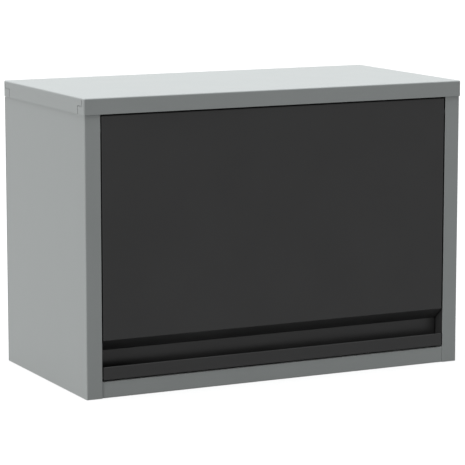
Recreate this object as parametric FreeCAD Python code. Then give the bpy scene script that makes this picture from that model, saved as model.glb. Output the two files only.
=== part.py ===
import FreeCAD, Part
import math
import os

# Sheet-steel tool chest with one inset door that flips up.
# Lengths are in millimetres. The origin is the middle of the footprint, on the floor.
# +X points right, the front faces -Y and +Z points up. The door is modelled closed.

# Overall size, measured over the lid
WIDTH = 600.0
DEPTH = 300.0
HEIGHT = 420.0

# Sheet metal and general fits
SHEET = 1.0
BEND_INNER = 0.5
SEAM_GAP = 0.2
OVERRUN = 5.0
SHORTEST_EDGE = 0.001
FIXED_FIT = 0.03
TURNING_FIT = 0.05

# Lid: a pressed cap over the body
LID_FLANGE = 23.0
LID_CLEARANCE = 0.2
LID_CORNER_RADIUS = 2.0
LID_TAB_LENGTH = 22.5
LID_TAB_HEIGHT = 12.2
LID_NOTCH_START = 8.4
LID_NOTCH_MIDDLE = 8.0
LID_NOTCH_MIDDLE_DROP = 6.0
LID_NOTCH_END = 6.5
LID_NOTCH_END_DROP = 2.2
LID_REAR_TAB_HEIGHT = 12.8
LID_REAR_NOTCH = 5.0
LID_SEAM = 1.2

# Body: side panels with the front stiles, jamb profiles, bottom tray, back and rails
STILE_WIDTH = 23.3
JAMB_DEPTH = 24.0
JAMB_FLANGE = 16.0
BACK_FLANGE = 25.0
TOP_FLANGE = 15.8
TOP_FLANGE_INSET = 18.0
TOP_FLANGE_ROOT = 9.0
FLANGE_RELIEF = 1.0
TRAY_FLANGE = 16.0
RAIL_HEIGHT = 23.3
RAIL_RECESS = 1.0
RAIL_END_GAP = 0.35
LEDGE_DEPTH = 42.2
LEDGE_LIP = 12.0
REAR_RAIL_HEIGHT = 62.0
REAR_RAIL_DEPTH = 25.0
FRONT_RAIL_LIP = 15.0
FRONT_RAIL_TOP = 25.0
BACK_SHEET_DROP = 1.5

# Wall fixing holes in the back
WALL_HOLE_INSET = 50.0
WALL_HOLE_RADIUS = 4.25
WALL_HOLE_RISE = 60.0
WALL_HOLE_DROP = 40.0

# Studs and nuts under the lid
LID_STUD_RADIUS = 2.5
LID_STUD_LENGTH = 9.0
LID_NUT_RADIUS = 4.6
LID_NUT_HEIGHT = 4.0
LID_STUD_INSET_X = 150.0
LID_STUD_INSET_Y = 60.0
NUT_SIDES = 6

# Studs and nuts inside the stiles and side walls, for jamb profiles and stay brackets
FRAME_STUD_RADIUS = 2.0
FRAME_STUD_LENGTH = 6.4
FRAME_NUT_RADIUS = 4.0
FRAME_NUT_HEIGHT = 3.2
JAMB_STUD_INSET = 10.0
JAMB_STUD_RISE = 60.0
JAMB_STUD_DROP = 90.0
JAMB_STUDS = 3

# Blind rivets
RIVET_RADIUS = 2.0
RIVET_HEAD_RADIUS = 3.6
RIVET_HEAD_HEIGHT = 1.0
RIVET_TAIL_RADIUS = 3.0
RIVET_TAIL_HEIGHT = 1.2
BACK_RIVET_RISE = 40.0
BACK_RIVET_DROP = 65.0
BACK_RIVET_ROWS = 4
CROSS_RIVET_INSET = 130.0
RAIL_RIVET_RISE = 10.0

# Door
DOOR_GAP = 2.0
DOOR_TOP_GAP = 1.9
DOOR_BOTTOM_GAP = 2.1
DOOR_THICKNESS = 22.0
DOOR_STRIP_HEIGHT = 18.6
DOOR_PANEL_EDGE = 56.6
GROOVE_SLOPE_DROP = 17.7
DOOR_CORNER_RADIUS = 1.5
HEM_INNER = 0.25
HEM_GAP = 0.6
HEM_LENGTH = 8.0
PAN_LAP = 20.0
LINER_EDGE = 1.6
LINER_FLANGE = 10.0
LINER_FLANGE_END = 52.0

# Stiffener behind the door skin
STIFFENER_INSET = 18.5
STIFFENER_CROWN = 30.0
STIFFENER_FOOT = 20.0
STIFFENER_DROP = 155.0
LINER_RIVET_INSET = 55.0
LINER_RIVETS_EACH_SIDE = 2

# Door hinge
HINGE_FRONT_CLEARANCE = 0.4
HINGE_DROP = 20.1
HINGE_PIN_RADIUS = 3.0
HINGE_PIN_HEAD_RADIUS = 4.2
HINGE_PIN_HEAD = 2.0
HINGE_PIN_END = 2.0
HINGE_PLATE_SHEET = 3.0
HINGE_PLATE_WIDTH = 13.0
HINGE_PLATE_HEIGHT = 40.0
HINGE_PLATE_SETBACK = 0.5
HINGE_RIVET_OFFSET = 14.0
HINGE_WASHER_RADIUS = 5.5
HINGE_WASHER_PLAY = 0.1
PIVOT_PLATE_SHEET = 3.0
PIVOT_PLATE_DEPTH = 14.0
PIVOT_PLATE_UP = 16.0
PIVOT_PLATE_DOWN = 20.0
PIVOT_PLATE_SETBACK = 0.8
BUSHING_RADIUS = 4.5
BUSHING_FLANGE_RADIUS = 5.6
BUSHING_FLANGE = 1.5
BUSHING_TAIL = 1.5

# Slotted stays; pivot and guide stud are equally far from the hinge axis
STAY_PIVOT_BEHIND = 27.0
STAY_PIVOT_BELOW = 60.0
STAY_STUD_ANGLE = 60.0
STAY_OPEN_ANGLE = 90.0
STAY_WIDTH = 16.0
STAY_SHEET = 2.5
STAY_INSET = 4.5
STAY_SLOT_CLEARANCE = 0.08
STAY_STOP_CLEARANCE = 0.3
STAY_END_WALL = 6.0
STAY_WASHER = 1.0
STAY_SIDE_PLAY = 0.05

STUD_RADIUS = 4.0
STUD_HEAD_RADIUS = 6.5
STUD_HEAD = 2.5
STUD_WASHER_RADIUS = 8.0
STUD_TIP = 1.5
THUMB_NUT_RADIUS = 9.0
THUMB_NUT_HEIGHT = 6.0
THUMB_NUT_GROOVES = 20
THUMB_NUT_GROOVE_RADIUS = 0.8

STAY_BRACKET_SHEET = 2.0
STAY_BRACKET_HEIGHT = 28.0
STAY_BRACKET_FACE = 10.0
STAY_BRACKET_WEB = 12.0
STAY_BRACKET_FOOT = 28.0
STAY_BRACKET_STUD_INSET = 8.0

DOOR_BRACKET_SHEET = 2.0
DOOR_BRACKET_FOOT = 27.5
DOOR_BRACKET_RADIUS = 10.0
DOOR_BRACKET_RIVET_OFFSET = 6.0
DOOR_BRACKET_RIVET_INSET = 9.0

PIVOT_RIVET_RADIUS = 3.0
PIVOT_RIVET_HEAD_RADIUS = 5.5
PIVOT_RIVET_HEAD = 1.8
PIVOT_WASHER_RADIUS = 6.5

# Screws through thin sheet: pan head, shank and nut-like collar
SCREW_RADIUS = 1.6
SCREW_HEAD_RADIUS = 3.2
SCREW_HEAD_HEIGHT = 2.0
SCREW_TIP = 3.0

# Magnetic catches on the ledge behind the door
CATCH_INSET = 125.5
CATCH_LENGTH = 46.0
CATCH_DEPTH = 16.0
CATCH_HEIGHT = 16.0
CATCH_AIR_GAP = 0.2
CATCH_EDGE_RADIUS = 1.5
MAGNET_LENGTH = 26.0
MAGNET_HEIGHT = 5.0
MAGNET_DEPTH = 8.0
POLE_SHEET = 1.2
POLE_PROUD = 0.6
CATCH_SCREW_OFFSET = 18.0
STRIKER_LENGTH = 44.0
STRIKER_HEIGHT = 14.0
STRIKER_SHEET = 1.0
STRIKER_RADIUS = 2.0
STRIKER_SCREW_OFFSET = 17.0
STRIKER_HEAD_RADIUS = 2.8
STRIKER_HEAD_HEIGHT = 0.6

# Stop angles with rubber buffers, beside the catches
BUFFER_INSET = 50.5
BUFFER_RADIUS = 6.0
BUFFER_LENGTH = 9.0
BUFFER_GAP = 0.2
BUFFER_STEM_RADIUS = 2.0
BUFFER_KNOB_RADIUS = 3.2
BUFFER_KNOB = 2.0
BUFFER_HEIGHT = 13.0
ANGLE_SHEET = 1.5
ANGLE_WIDTH = 24.0
ANGLE_HEIGHT = 22.0
ANGLE_FOOT = 13.0
ANGLE_SCREW_OFFSET = 6.0

# Places worked out from the sizes above
BODY_HALF = WIDTH / 2 - SHEET - LID_CLEARANCE
BODY_FRONT = SHEET + LID_CLEARANCE - DEPTH / 2
BACK_FACE = DEPTH / 2
BODY_BACK = BACK_FACE - SHEET
BODY_TOP = HEIGHT - SHEET
LID_BOTTOM = HEIGHT - LID_FLANGE
OPENING_HALF = BODY_HALF - STILE_WIDTH
SIDE_INNER = BODY_HALF - SHEET
JAMB_INNER = OPENING_HALF + SHEET
STILE_BACK = BODY_FRONT + SHEET
BACK_FLANGE_EDGE = BODY_HALF - BACK_FLANGE
INSERT_HALF = BACK_FLANGE_EDGE - SEAM_GAP

DOOR_HALF = OPENING_HALF - DOOR_GAP
DOOR_TOP = LID_BOTTOM - DOOR_TOP_GAP
DOOR_BOTTOM = RAIL_HEIGHT + DOOR_BOTTOM_GAP
DOOR_BACK = BODY_FRONT + DOOR_THICKNESS
LINER_FRONT = DOOR_BACK - SHEET
GROOVE_BACK = LINER_FRONT - SHEET
PANEL_EDGE_Z = DOOR_BOTTOM + DOOR_PANEL_EDGE
PAN_END_Z = PANEL_EDGE_Z + DOOR_CORNER_RADIUS
STRIP_TOP_Z = DOOR_BOTTOM + DOOR_STRIP_HEIGHT
RETURN_INNER = DOOR_HALF - SHEET
STIFFENER_HALF = DOOR_HALF - STIFFENER_INSET

HINGE_Y = BODY_FRONT + SHEET + HINGE_FRONT_CLEARANCE + BUSHING_FLANGE_RADIUS
HINGE_Z = DOOR_TOP - HINGE_DROP

STAY_REACH = math.hypot(STAY_PIVOT_BEHIND, STAY_PIVOT_BELOW)
STAY_PIVOT_ANGLE = math.degrees(math.atan2(STAY_PIVOT_BEHIND, STAY_PIVOT_BELOW))
STAY_PIVOT_Y = HINGE_Y + STAY_PIVOT_BEHIND
STAY_PIVOT_Z = HINGE_Z - STAY_PIVOT_BELOW
STUD_Y = HINGE_Y + STAY_REACH * math.sin(math.radians(STAY_STUD_ANGLE))
STUD_Z = HINGE_Z - STAY_REACH * math.cos(math.radians(STAY_STUD_ANGLE))
STAY_SPREAD = STAY_STUD_ANGLE - STAY_PIVOT_ANGLE
STAY_CLOSED_LENGTH = 2 * STAY_REACH * math.sin(math.radians(STAY_SPREAD / 2))
STAY_OPEN_LENGTH = 2 * STAY_REACH * math.sin(math.radians((STAY_SPREAD + STAY_OPEN_ANGLE) / 2))
STAY_TILT = math.degrees(math.atan2(STUD_Z - STAY_PIVOT_Z, STUD_Y - STAY_PIVOT_Y))
STAY_OUTER = OPENING_HALF - STAY_INSET
STAY_INNER = STAY_OUTER - STAY_SHEET

CATCH_X = OPENING_HALF - CATCH_INSET
BUFFER_X = OPENING_HALF - BUFFER_INSET
LEDGE_TOP = RAIL_HEIGHT
RAIL_FRONT = BODY_FRONT + RAIL_RECESS
STRIKER_BACK = DOOR_BACK + STRIKER_SHEET
CATCH_FRONT = STRIKER_BACK + CATCH_AIR_GAP + POLE_PROUD
CATCH_MIDDLE_Z = LEDGE_TOP + CATCH_HEIGHT / 2
BUFFER_FRONT = DOOR_BACK + BUFFER_GAP
ANGLE_FRONT = BUFFER_FRONT + BUFFER_LENGTH


def vec(x, y, z):
    return FreeCAD.Vector(x, y, z)


def block(x0, x1, y0, y1, z0, z1):
    """A box between two corners."""
    return Part.makeBox(x1 - x0, y1 - y0, z1 - z0, vec(x0, y0, z0))


def rod_x(radius, x0, x1, y, z):
    return Part.makeCylinder(radius, x1 - x0, vec(x0, y, z), vec(1, 0, 0))


def rod_y(radius, y0, y1, x, z):
    return Part.makeCylinder(radius, y1 - y0, vec(x, y0, z), vec(0, 1, 0))


def rod_z(radius, z0, z1, x, y):
    return Part.makeCylinder(radius, z1 - z0, vec(x, y, z0), vec(0, 0, 1))


def fused(shapes):
    """One solid out of pieces that touch or overlap."""
    whole = shapes[0].fuse(shapes[1:]) if len(shapes) > 1 else shapes[0]
    return whole.removeSplitter()


def mirrored(shape):
    """The same piece on the left side."""
    return shape.mirror(vec(0, 0, 0), vec(1, 0, 0))


def rounded_face(corners, radii, place):
    """A flat face whose corners are rounded, each by its own radius."""
    starts = []
    middles = []
    ends = []
    for index, corner in enumerate(corners):
        back = (corners[index - 1] - corner).normalize()
        ahead = (corners[(index + 1) % len(corners)] - corner).normalize()
        half_angle = back.getAngle(ahead) / 2
        reach = radii[index] / math.tan(half_angle)
        starts.append(corner + back * reach)
        ends.append(corner + ahead * reach)
        inward = radii[index] / math.sin(half_angle) - radii[index]
        middles.append(corner + (back + ahead).normalize() * inward if radii[index] else None)
    edges = []
    for index, middle in enumerate(middles):
        if middle is not None:
            edges.append(Part.Arc(place(starts[index]), place(middle), place(ends[index])).toShape())
        following = starts[(index + 1) % len(starts)]
        if (following - ends[index]).Length > SHORTEST_EDGE:
            edges.append(Part.makeLine(place(ends[index]), place(following)))
    return Part.Face(Part.Wire(edges))


def folded_sheet(path, thickness, place, sweep, bend_inner=BEND_INNER):
    """A folded sheet. The path is one face seen end on, and the sheet lies to the left of the path."""
    points = [vec(u, v, 0) for u, v in path]
    runs = [(ahead - here).normalize() for here, ahead in zip(points, points[1:])]
    lefts = [vec(-run.y, run.x, 0) for run in runs]
    other = [points[0] + lefts[0] * thickness]
    near_radii = [0]
    far_radii = [0]
    for index in range(1, len(points) - 1):
        before = lefts[index - 1]
        after = lefts[index]
        other.append(points[index] + (before + after) * (thickness / (1 + before.dot(after))))
        turns_left = runs[index - 1].cross(runs[index]).z > 0
        near_radii.append(bend_inner + thickness if turns_left else bend_inner)
        far_radii.append(bend_inner if turns_left else bend_inner + thickness)
    other.append(points[-1] + lefts[-1] * thickness)
    near_radii.append(0)
    far_radii.append(0)
    corners = points + other[::-1]
    radii = near_radii + far_radii[::-1]
    return rounded_face(corners, radii, place).extrude(sweep)


def folded_along_x(path, x0, x1, thickness=SHEET, bend_inner=BEND_INNER):
    """A folded sheet whose path is given in (y, z)."""
    return folded_sheet(path, thickness, lambda p: vec(x0, p.x, p.y), vec(x1 - x0, 0, 0), bend_inner)


def folded_along_y(path, y0, y1, thickness=SHEET):
    """A folded sheet whose path is given in (x, z)."""
    return folded_sheet(path, thickness, lambda p: vec(p.x, y0, p.y), vec(0, y1 - y0, 0))


def folded_along_z(path, z0, z1, thickness=SHEET):
    """A folded sheet whose path is given in (x, y)."""
    return folded_sheet(path, thickness, lambda p: vec(p.x, p.y, z0), vec(0, 0, z1 - z0))


def rounded_block(x0, x1, y0, y1, z0, z1, radius, wanted):
    """A box whose edges are rounded where wanted(edge) is true."""
    box = block(x0, x1, y0, y1, z0, z1)
    return box.makeFillet(radius, [edge for edge in box.Edges if wanted(edge)])


def save(node, shape):
    shape.exportStep("parts/" + node + ".step")


def save_pair(node, shape):
    """Saves a right-hand piece and its mirror image."""
    save(node + "_right", shape)
    save(node + "_left", mirrored(shape))


def both_sides(shapes):
    """The shapes and their mirror images, in one list."""
    return shapes + [mirrored(shape) for shape in shapes]


# Places that several pieces share

def lid_stud_places():
    """(x, y) of the studs under the lid: on the side flanges, and on the rear and front rails."""
    side_x = BODY_HALF - TOP_FLANGE / 2
    rear_y = BODY_BACK - REAR_RAIL_DEPTH / 2
    front_y = BODY_FRONT + FRONT_RAIL_TOP / 2
    rail_x = WIDTH / 2 - LID_STUD_INSET_X
    flange_y = DEPTH / 2 - LID_STUD_INSET_Y
    places = []
    for side in (-1, 1):
        places.append((side * side_x, -flange_y))
        places.append((side * side_x, flange_y))
        places.append((side * rail_x, rear_y))
        places.append((side * rail_x, front_y))
    return places


def wall_hole_places():
    """(x, z) of the wall fixing holes."""
    low = WALL_HOLE_RISE
    high = HEIGHT - WALL_HOLE_DROP
    half = WIDTH / 2 - WALL_HOLE_INSET
    return [(-half, low), (half, low), (-half, high), (half, high)]


def back_rivet_places():
    """(x, z) of the rivets through the back sheet into the side panels, the tray and the rear rail."""
    side_x = BODY_HALF - BACK_FLANGE / 2
    pitch = (HEIGHT - BACK_RIVET_DROP - BACK_RIVET_RISE) / (BACK_RIVET_ROWS - 1)
    places = []
    for row in range(BACK_RIVET_ROWS):
        for side in (-1, 1):
            places.append((side * side_x, BACK_RIVET_RISE + row * pitch))
    cross_x = WIDTH / 2 - CROSS_RIVET_INSET
    for x in (-cross_x, 0, cross_x):
        places.append((x, TRAY_FLANGE / 2))
        places.append((x, BODY_TOP - REAR_RAIL_HEIGHT + RAIL_RIVET_RISE))
    return places


def liner_rivet_places():
    """(x, z) of the rivets through the door liner into the two feet of the stiffener."""
    middle = DOOR_TOP - STIFFENER_DROP
    offset = (STIFFENER_CROWN + STIFFENER_FOOT) / 2
    pitch = (STIFFENER_HALF - LINER_RIVET_INSET) / LINER_RIVETS_EACH_SIDE
    places = []
    for column in range(-LINER_RIVETS_EACH_SIDE, LINER_RIVETS_EACH_SIDE + 1):
        places.append((column * pitch, middle - offset))
        places.append((column * pitch, middle + offset))
    return places


def hinge_rivet_heights():
    return [HINGE_Z - HINGE_RIVET_OFFSET, HINGE_Z + HINGE_RIVET_OFFSET]


def catch_screw_places():
    """(x, y) of the screws that hold the right catch on the ledge."""
    middle_y = CATCH_FRONT + CATCH_DEPTH / 2
    return [(CATCH_X + side * CATCH_SCREW_OFFSET, middle_y) for side in (-1, 1)]


def striker_screw_places():
    """(x, z) of the screws of the right striker."""
    return [(CATCH_X + side * STRIKER_SCREW_OFFSET, CATCH_MIDDLE_Z) for side in (-1, 1)]


def angle_screw_places():
    """(x, y) of the screws of the right stop angle."""
    middle_y = ANGLE_FRONT + (ANGLE_SHEET + ANGLE_FOOT) / 2
    return [(BUFFER_X + side * ANGLE_SCREW_OFFSET, middle_y) for side in (-1, 1)]


def bracket_stud_places():
    """(y, z) of the welded studs that hold the right stay bracket on the side wall."""
    middle_y = STUD_Y + STAY_BRACKET_WEB + STAY_BRACKET_FOOT / 2
    reach = STAY_BRACKET_HEIGHT / 2 - STAY_BRACKET_STUD_INSET
    return [(middle_y, STUD_Z - reach), (middle_y, STUD_Z + reach)]


def jamb_stud_places():
    """(x, z) of the welded studs that hold the right jamb profile on its stile."""
    x = OPENING_HALF + JAMB_STUD_INSET
    pitch = (BODY_TOP - JAMB_STUD_DROP - JAMB_STUD_RISE) / (JAMB_STUDS - 1)
    return [(x, JAMB_STUD_RISE + row * pitch) for row in range(JAMB_STUDS)]


def door_bracket_rivet_places():
    """(x, z) of the rivets that hold the right stay bracket on the door liner."""
    edge = STAY_INNER - STAY_WASHER - DOOR_BRACKET_FOOT
    places = []
    for side in (-1, 1):
        height = STAY_PIVOT_Z + side * DOOR_BRACKET_RIVET_OFFSET
        places.append((edge + DOOR_BRACKET_RIVET_INSET, height))
    return places


# Fasteners

def rivet_y(x, z, front, back):
    """A blind rivet along Y through sheets from front to back, with its head at the back."""
    shank = rod_y(RIVET_RADIUS, front, back, x, z)
    head = rod_y(RIVET_HEAD_RADIUS, back, back + RIVET_HEAD_HEIGHT, x, z)
    tail = rod_y(RIVET_TAIL_RADIUS, front - RIVET_TAIL_HEIGHT, front, x, z)
    return fused([shank, head, tail])


def flush_rivet_y(x, z, front, back):
    """A rivet along Y that ends flush at the back."""
    shank = rod_y(RIVET_RADIUS, front, back, x, z)
    tail = rod_y(RIVET_TAIL_RADIUS, front - RIVET_TAIL_HEIGHT, front, x, z)
    return fused([shank, tail])


def screw_down(x, y, top, length):
    """A small pan-head screw along -Z with its head on the plane top."""
    shank = rod_z(SCREW_RADIUS, top - length, top, x, y)
    head = rod_z(SCREW_HEAD_RADIUS, top, top + SCREW_HEAD_HEIGHT, x, y)
    return fused([shank, head])


def hexagon_nut(radius, height, stud_radius, foot, way):
    """A hexagon nut for a stud of this radius; it starts at the foot and grows this way."""
    corners = []
    for step in range(NUT_SIDES):
        angle = 2 * math.pi * step / NUT_SIDES
        corners.append(vec(radius * math.cos(angle), radius * math.sin(angle), 0))
    prism = Part.Face(Part.makePolygon(corners + corners[:1])).extrude(vec(0, 0, height))
    nut = prism.cut(rod_z(stud_radius + FIXED_FIT, -OVERRUN, height + OVERRUN, 0, 0))
    nut.Placement = FreeCAD.Placement(foot, FreeCAD.Rotation(vec(0, 0, 1), way))
    return nut


def frame_nut(foot, way):
    return hexagon_nut(FRAME_NUT_RADIUS, FRAME_NUT_HEIGHT, FRAME_STUD_RADIUS, foot, way)


# Cabinet body

def side_panel():
    """Right side panel: stile, wall and back flange in one fold, with a top flange."""
    plan = [(OPENING_HALF, BODY_FRONT), (BODY_HALF, BODY_FRONT), (BODY_HALF, BODY_BACK),
            (BACK_FLANGE_EDGE, BODY_BACK)]
    panel = folded_along_z(plan, 0, BODY_TOP - LID_CORNER_RADIUS)
    flange_front = BODY_FRONT + TOP_FLANGE_INSET
    flange_back = BODY_BACK - REAR_RAIL_DEPTH - TOP_FLANGE_INSET
    root = BODY_TOP - TOP_FLANGE_ROOT
    notch = block(SIDE_INNER - OVERRUN, BODY_HALF + OVERRUN, flange_front - FLANGE_RELIEF,
                  flange_back + FLANGE_RELIEF, root, BODY_TOP + OVERRUN)
    fold = [(BODY_HALF, root), (BODY_HALF, BODY_TOP), (BODY_HALF - TOP_FLANGE, BODY_TOP)]
    flange = folded_along_y(fold, flange_front, flange_back)
    panel = fused([panel.cut(notch), flange])
    holes = [rod_z(LID_STUD_RADIUS + FIXED_FIT, root, BODY_TOP + OVERRUN, x, y)
             for x, y in lid_stud_places() if abs(x) > BODY_HALF - TOP_FLANGE]
    holes += [rod_y(RIVET_RADIUS + FIXED_FIT, BODY_BACK - OVERRUN, BODY_BACK + OVERRUN, x, z)
              for x, z in back_rivet_places() if abs(x) > BACK_FLANGE_EDGE]
    return panel.cut(holes)


def jamb_profile():
    """Angle behind the right stile that lines the edge of the door opening and carries the hinge."""
    plan = [(OPENING_HALF, BODY_FRONT + JAMB_DEPTH), (OPENING_HALF, STILE_BACK),
            (OPENING_HALF + JAMB_FLANGE, STILE_BACK)]
    profile = folded_along_z(plan, 0, BODY_TOP - LID_CORNER_RADIUS)
    start = OPENING_HALF - OVERRUN
    end = JAMB_INNER + OVERRUN
    holes = [rod_x(RIVET_RADIUS + FIXED_FIT, start, end, HINGE_Y, z) for z in hinge_rivet_heights()]
    holes.append(rod_x(HINGE_PIN_RADIUS + TURNING_FIT, start, end, HINGE_Y, HINGE_Z))
    holes += [rod_y(FRAME_STUD_RADIUS + FIXED_FIT, STILE_BACK - OVERRUN, STILE_BACK + OVERRUN, x, z)
              for x, z in jamb_stud_places()]
    return profile.cut(holes)


def bottom_panel():
    """Tray: rear flange, floor, front rail, ledge and ledge lip in one fold, with two side flanges."""
    ledge_back = RAIL_FRONT + LEDGE_DEPTH
    front_fold = [(ledge_back, RAIL_HEIGHT - LEDGE_LIP), (ledge_back, RAIL_HEIGHT),
                  (RAIL_FRONT, RAIL_HEIGHT), (RAIL_FRONT, 0), (ledge_back, 0)]
    rear_fold = [(ledge_back, 0), (BODY_BACK, 0), (BODY_BACK, TRAY_FLANGE)]
    front_half = OPENING_HALF - RAIL_END_GAP
    front = folded_along_x(front_fold, -front_half, front_half)
    rear = folded_along_x(rear_fold, -INSERT_HALF, INSERT_HALF)
    wing_front = STILE_BACK + SHEET + SEAM_GAP
    wing_back = BODY_BACK - SHEET - SEAM_GAP
    edge = SIDE_INNER - SEAM_GAP
    wing_fold = [(INSERT_HALF - OVERRUN, 0), (edge, 0), (edge, TRAY_FLANGE)]
    wing = folded_along_y(wing_fold, wing_front, wing_back)
    jamb_notch = block(INSERT_HALF - 2 * OVERRUN, JAMB_INNER + SEAM_GAP, wing_front - OVERRUN,
                       BODY_FRONT + JAMB_DEPTH + SEAM_GAP, -OVERRUN, TRAY_FLANGE + OVERRUN)
    wing = wing.cut(jamb_notch)
    tray = fused([front, rear, wing, mirrored(wing)])
    holes = [rod_y(RIVET_RADIUS + FIXED_FIT, BODY_BACK - OVERRUN, BODY_BACK + OVERRUN, x, z)
             for x, z in back_rivet_places() if abs(x) < INSERT_HALF and z < TRAY_FLANGE]
    screw_holes = [rod_z(SCREW_RADIUS + FIXED_FIT, RAIL_HEIGHT - OVERRUN, RAIL_HEIGHT + OVERRUN, x, y)
                   for x, y in catch_screw_places() + angle_screw_places()]
    return tray.cut(holes + both_sides(screw_holes))


def back_panel():
    """Flat back sheet, flush with the rear flange of the lid that ends above it."""
    top = LID_BOTTOM - BACK_SHEET_DROP
    sheet = block(-BODY_HALF, BODY_HALF, BODY_BACK, BACK_FACE, 0, top)
    holes = [rod_y(WALL_HOLE_RADIUS, BODY_BACK - OVERRUN, BACK_FACE + OVERRUN, x, z)
             for x, z in wall_hole_places()]
    holes += [rod_y(RIVET_RADIUS + FIXED_FIT, BODY_BACK - OVERRUN, BACK_FACE + OVERRUN, x, z)
              for x, z in back_rivet_places()]
    return sheet.cut(holes)


def rear_top_rail():
    """Channel behind the upper wall fixing holes; its top flange carries the lid."""
    low = BODY_TOP - REAR_RAIL_HEIGHT
    front = BODY_BACK - REAR_RAIL_DEPTH
    path = [(front, low), (BODY_BACK, low), (BODY_BACK, BODY_TOP), (front, BODY_TOP)]
    rail = folded_along_x(path, -INSERT_HALF, INSERT_HALF)
    holes = [rod_y(WALL_HOLE_RADIUS, BODY_BACK - OVERRUN, BODY_BACK + OVERRUN, x, z)
             for x, z in wall_hole_places() if z > low]
    holes += [rod_y(RIVET_RADIUS + FIXED_FIT, BODY_BACK - OVERRUN, BODY_BACK + OVERRUN, x, z)
              for x, z in back_rivet_places() if z > low and abs(x) < INSERT_HALF]
    holes += [rod_z(LID_STUD_RADIUS + FIXED_FIT, BODY_TOP - OVERRUN, BODY_TOP + OVERRUN, x, y)
              for x, y in lid_stud_places() if y > front]
    return rail.cut(holes)


def top_front_rail():
    """Channel behind the front flange of the lid, above the door."""
    top_back = BODY_FRONT + FRONT_RAIL_TOP
    path = [(top_back, BODY_TOP), (BODY_FRONT, BODY_TOP), (BODY_FRONT, LID_BOTTOM),
            (BODY_FRONT + FRONT_RAIL_LIP, LID_BOTTOM)]
    half = OPENING_HALF - SEAM_GAP
    rail = folded_along_x(path, -half, half)
    holes = [rod_z(LID_STUD_RADIUS + FIXED_FIT, BODY_TOP - OVERRUN, BODY_TOP + OVERRUN, x, y)
             for x, y in lid_stud_places() if y < top_back and abs(x) < half]
    return rail.cut(holes)


def lid_seam(path):
    """A seam along a path of (y, z) points, cut right through the right side flange of the lid."""
    inner = WIDTH / 2 - SHEET - LID_SEAM
    return folded_along_x(path, inner, WIDTH / 2 + OVERRUN, LID_SEAM, LID_SEAM / 2)


def lid_seams():
    """The seams round the tabs that fold from the front and rear flanges on to the side flanges."""
    half_depth = DEPTH / 2
    front = lid_seam([(LID_TAB_LENGTH - half_depth, LID_BOTTOM - OVERRUN),
                      (LID_TAB_LENGTH - half_depth, LID_BOTTOM + LID_TAB_HEIGHT),
                      (LID_NOTCH_START - half_depth, LID_BOTTOM + LID_TAB_HEIGHT),
                      (LID_NOTCH_MIDDLE - half_depth, HEIGHT - LID_NOTCH_MIDDLE_DROP),
                      (LID_NOTCH_END - half_depth, HEIGHT - LID_NOTCH_END_DROP)])
    rear = lid_seam([(LID_TAB_LENGTH - half_depth, LID_BOTTOM - OVERRUN),
                     (LID_TAB_LENGTH - half_depth, LID_BOTTOM + LID_REAR_TAB_HEIGHT),
                     (LID_REAR_NOTCH - half_depth, LID_BOTTOM + LID_REAR_TAB_HEIGHT),
                     (LID_REAR_NOTCH - half_depth, HEIGHT - LID_NOTCH_END_DROP)])
    return both_sides([front, rear.mirror(vec(0, 0, 0), vec(0, 1, 0))])


def lid():
    """Pressed cap with a flange all round; the corner tabs show as thin seams on the side flanges."""
    half_width = WIDTH / 2
    half_depth = DEPTH / 2
    outer = rounded_block(-half_width, half_width, -half_depth, half_depth, LID_BOTTOM, HEIGHT,
                          LID_CORNER_RADIUS, lambda edge: edge.CenterOfMass.z > LID_BOTTOM)
    inner = rounded_block(SHEET - half_width, half_width - SHEET, SHEET - half_depth, half_depth - SHEET,
                          LID_BOTTOM - OVERRUN, BODY_TOP, LID_CORNER_RADIUS - SHEET,
                          lambda edge: edge.CenterOfMass.z > LID_BOTTOM - OVERRUN)
    return outer.cut(inner).cut(lid_seams())


def lid_studs():
    low = BODY_TOP - LID_STUD_LENGTH
    return [rod_z(LID_STUD_RADIUS, low, BODY_TOP, x, y) for x, y in lid_stud_places()]


def lid_nuts():
    """Hexagon nuts under the top flanges."""
    nuts = []
    top = BODY_TOP - SHEET
    for x, y in lid_stud_places():
        foot = vec(x, y, top - LID_NUT_HEIGHT)
        nuts.append(hexagon_nut(LID_NUT_RADIUS, LID_NUT_HEIGHT, LID_STUD_RADIUS, foot, vec(0, 0, 1)))
    return nuts


def frame_studs():
    """Studs welded inside the stiles and side walls, so that nothing shows outside."""
    wall_tip = SIDE_INNER - FRAME_STUD_LENGTH
    stile_tip = STILE_BACK + FRAME_STUD_LENGTH
    studs = [rod_x(FRAME_STUD_RADIUS, wall_tip, SIDE_INNER, y, z) for y, z in bracket_stud_places()]
    studs += [rod_y(FRAME_STUD_RADIUS, STILE_BACK, stile_tip, x, z) for x, z in jamb_stud_places()]
    return both_sides(studs)


def frame_nuts():
    """Hexagon nuts on these studs, against the stay brackets and the jamb profiles."""
    bracket_x = SIDE_INNER - STAY_BRACKET_SHEET
    flange_back = STILE_BACK + SHEET
    nuts = [frame_nut(vec(bracket_x, y, z), vec(-1, 0, 0)) for y, z in bracket_stud_places()]
    nuts += [frame_nut(vec(x, flange_back, z), vec(0, 1, 0)) for x, z in jamb_stud_places()]
    return both_sides(nuts)


def back_rivets():
    return [flush_rivet_y(x, z, BODY_BACK - SHEET, BACK_FACE) for x, z in back_rivet_places()]


# Door hinge

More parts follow.
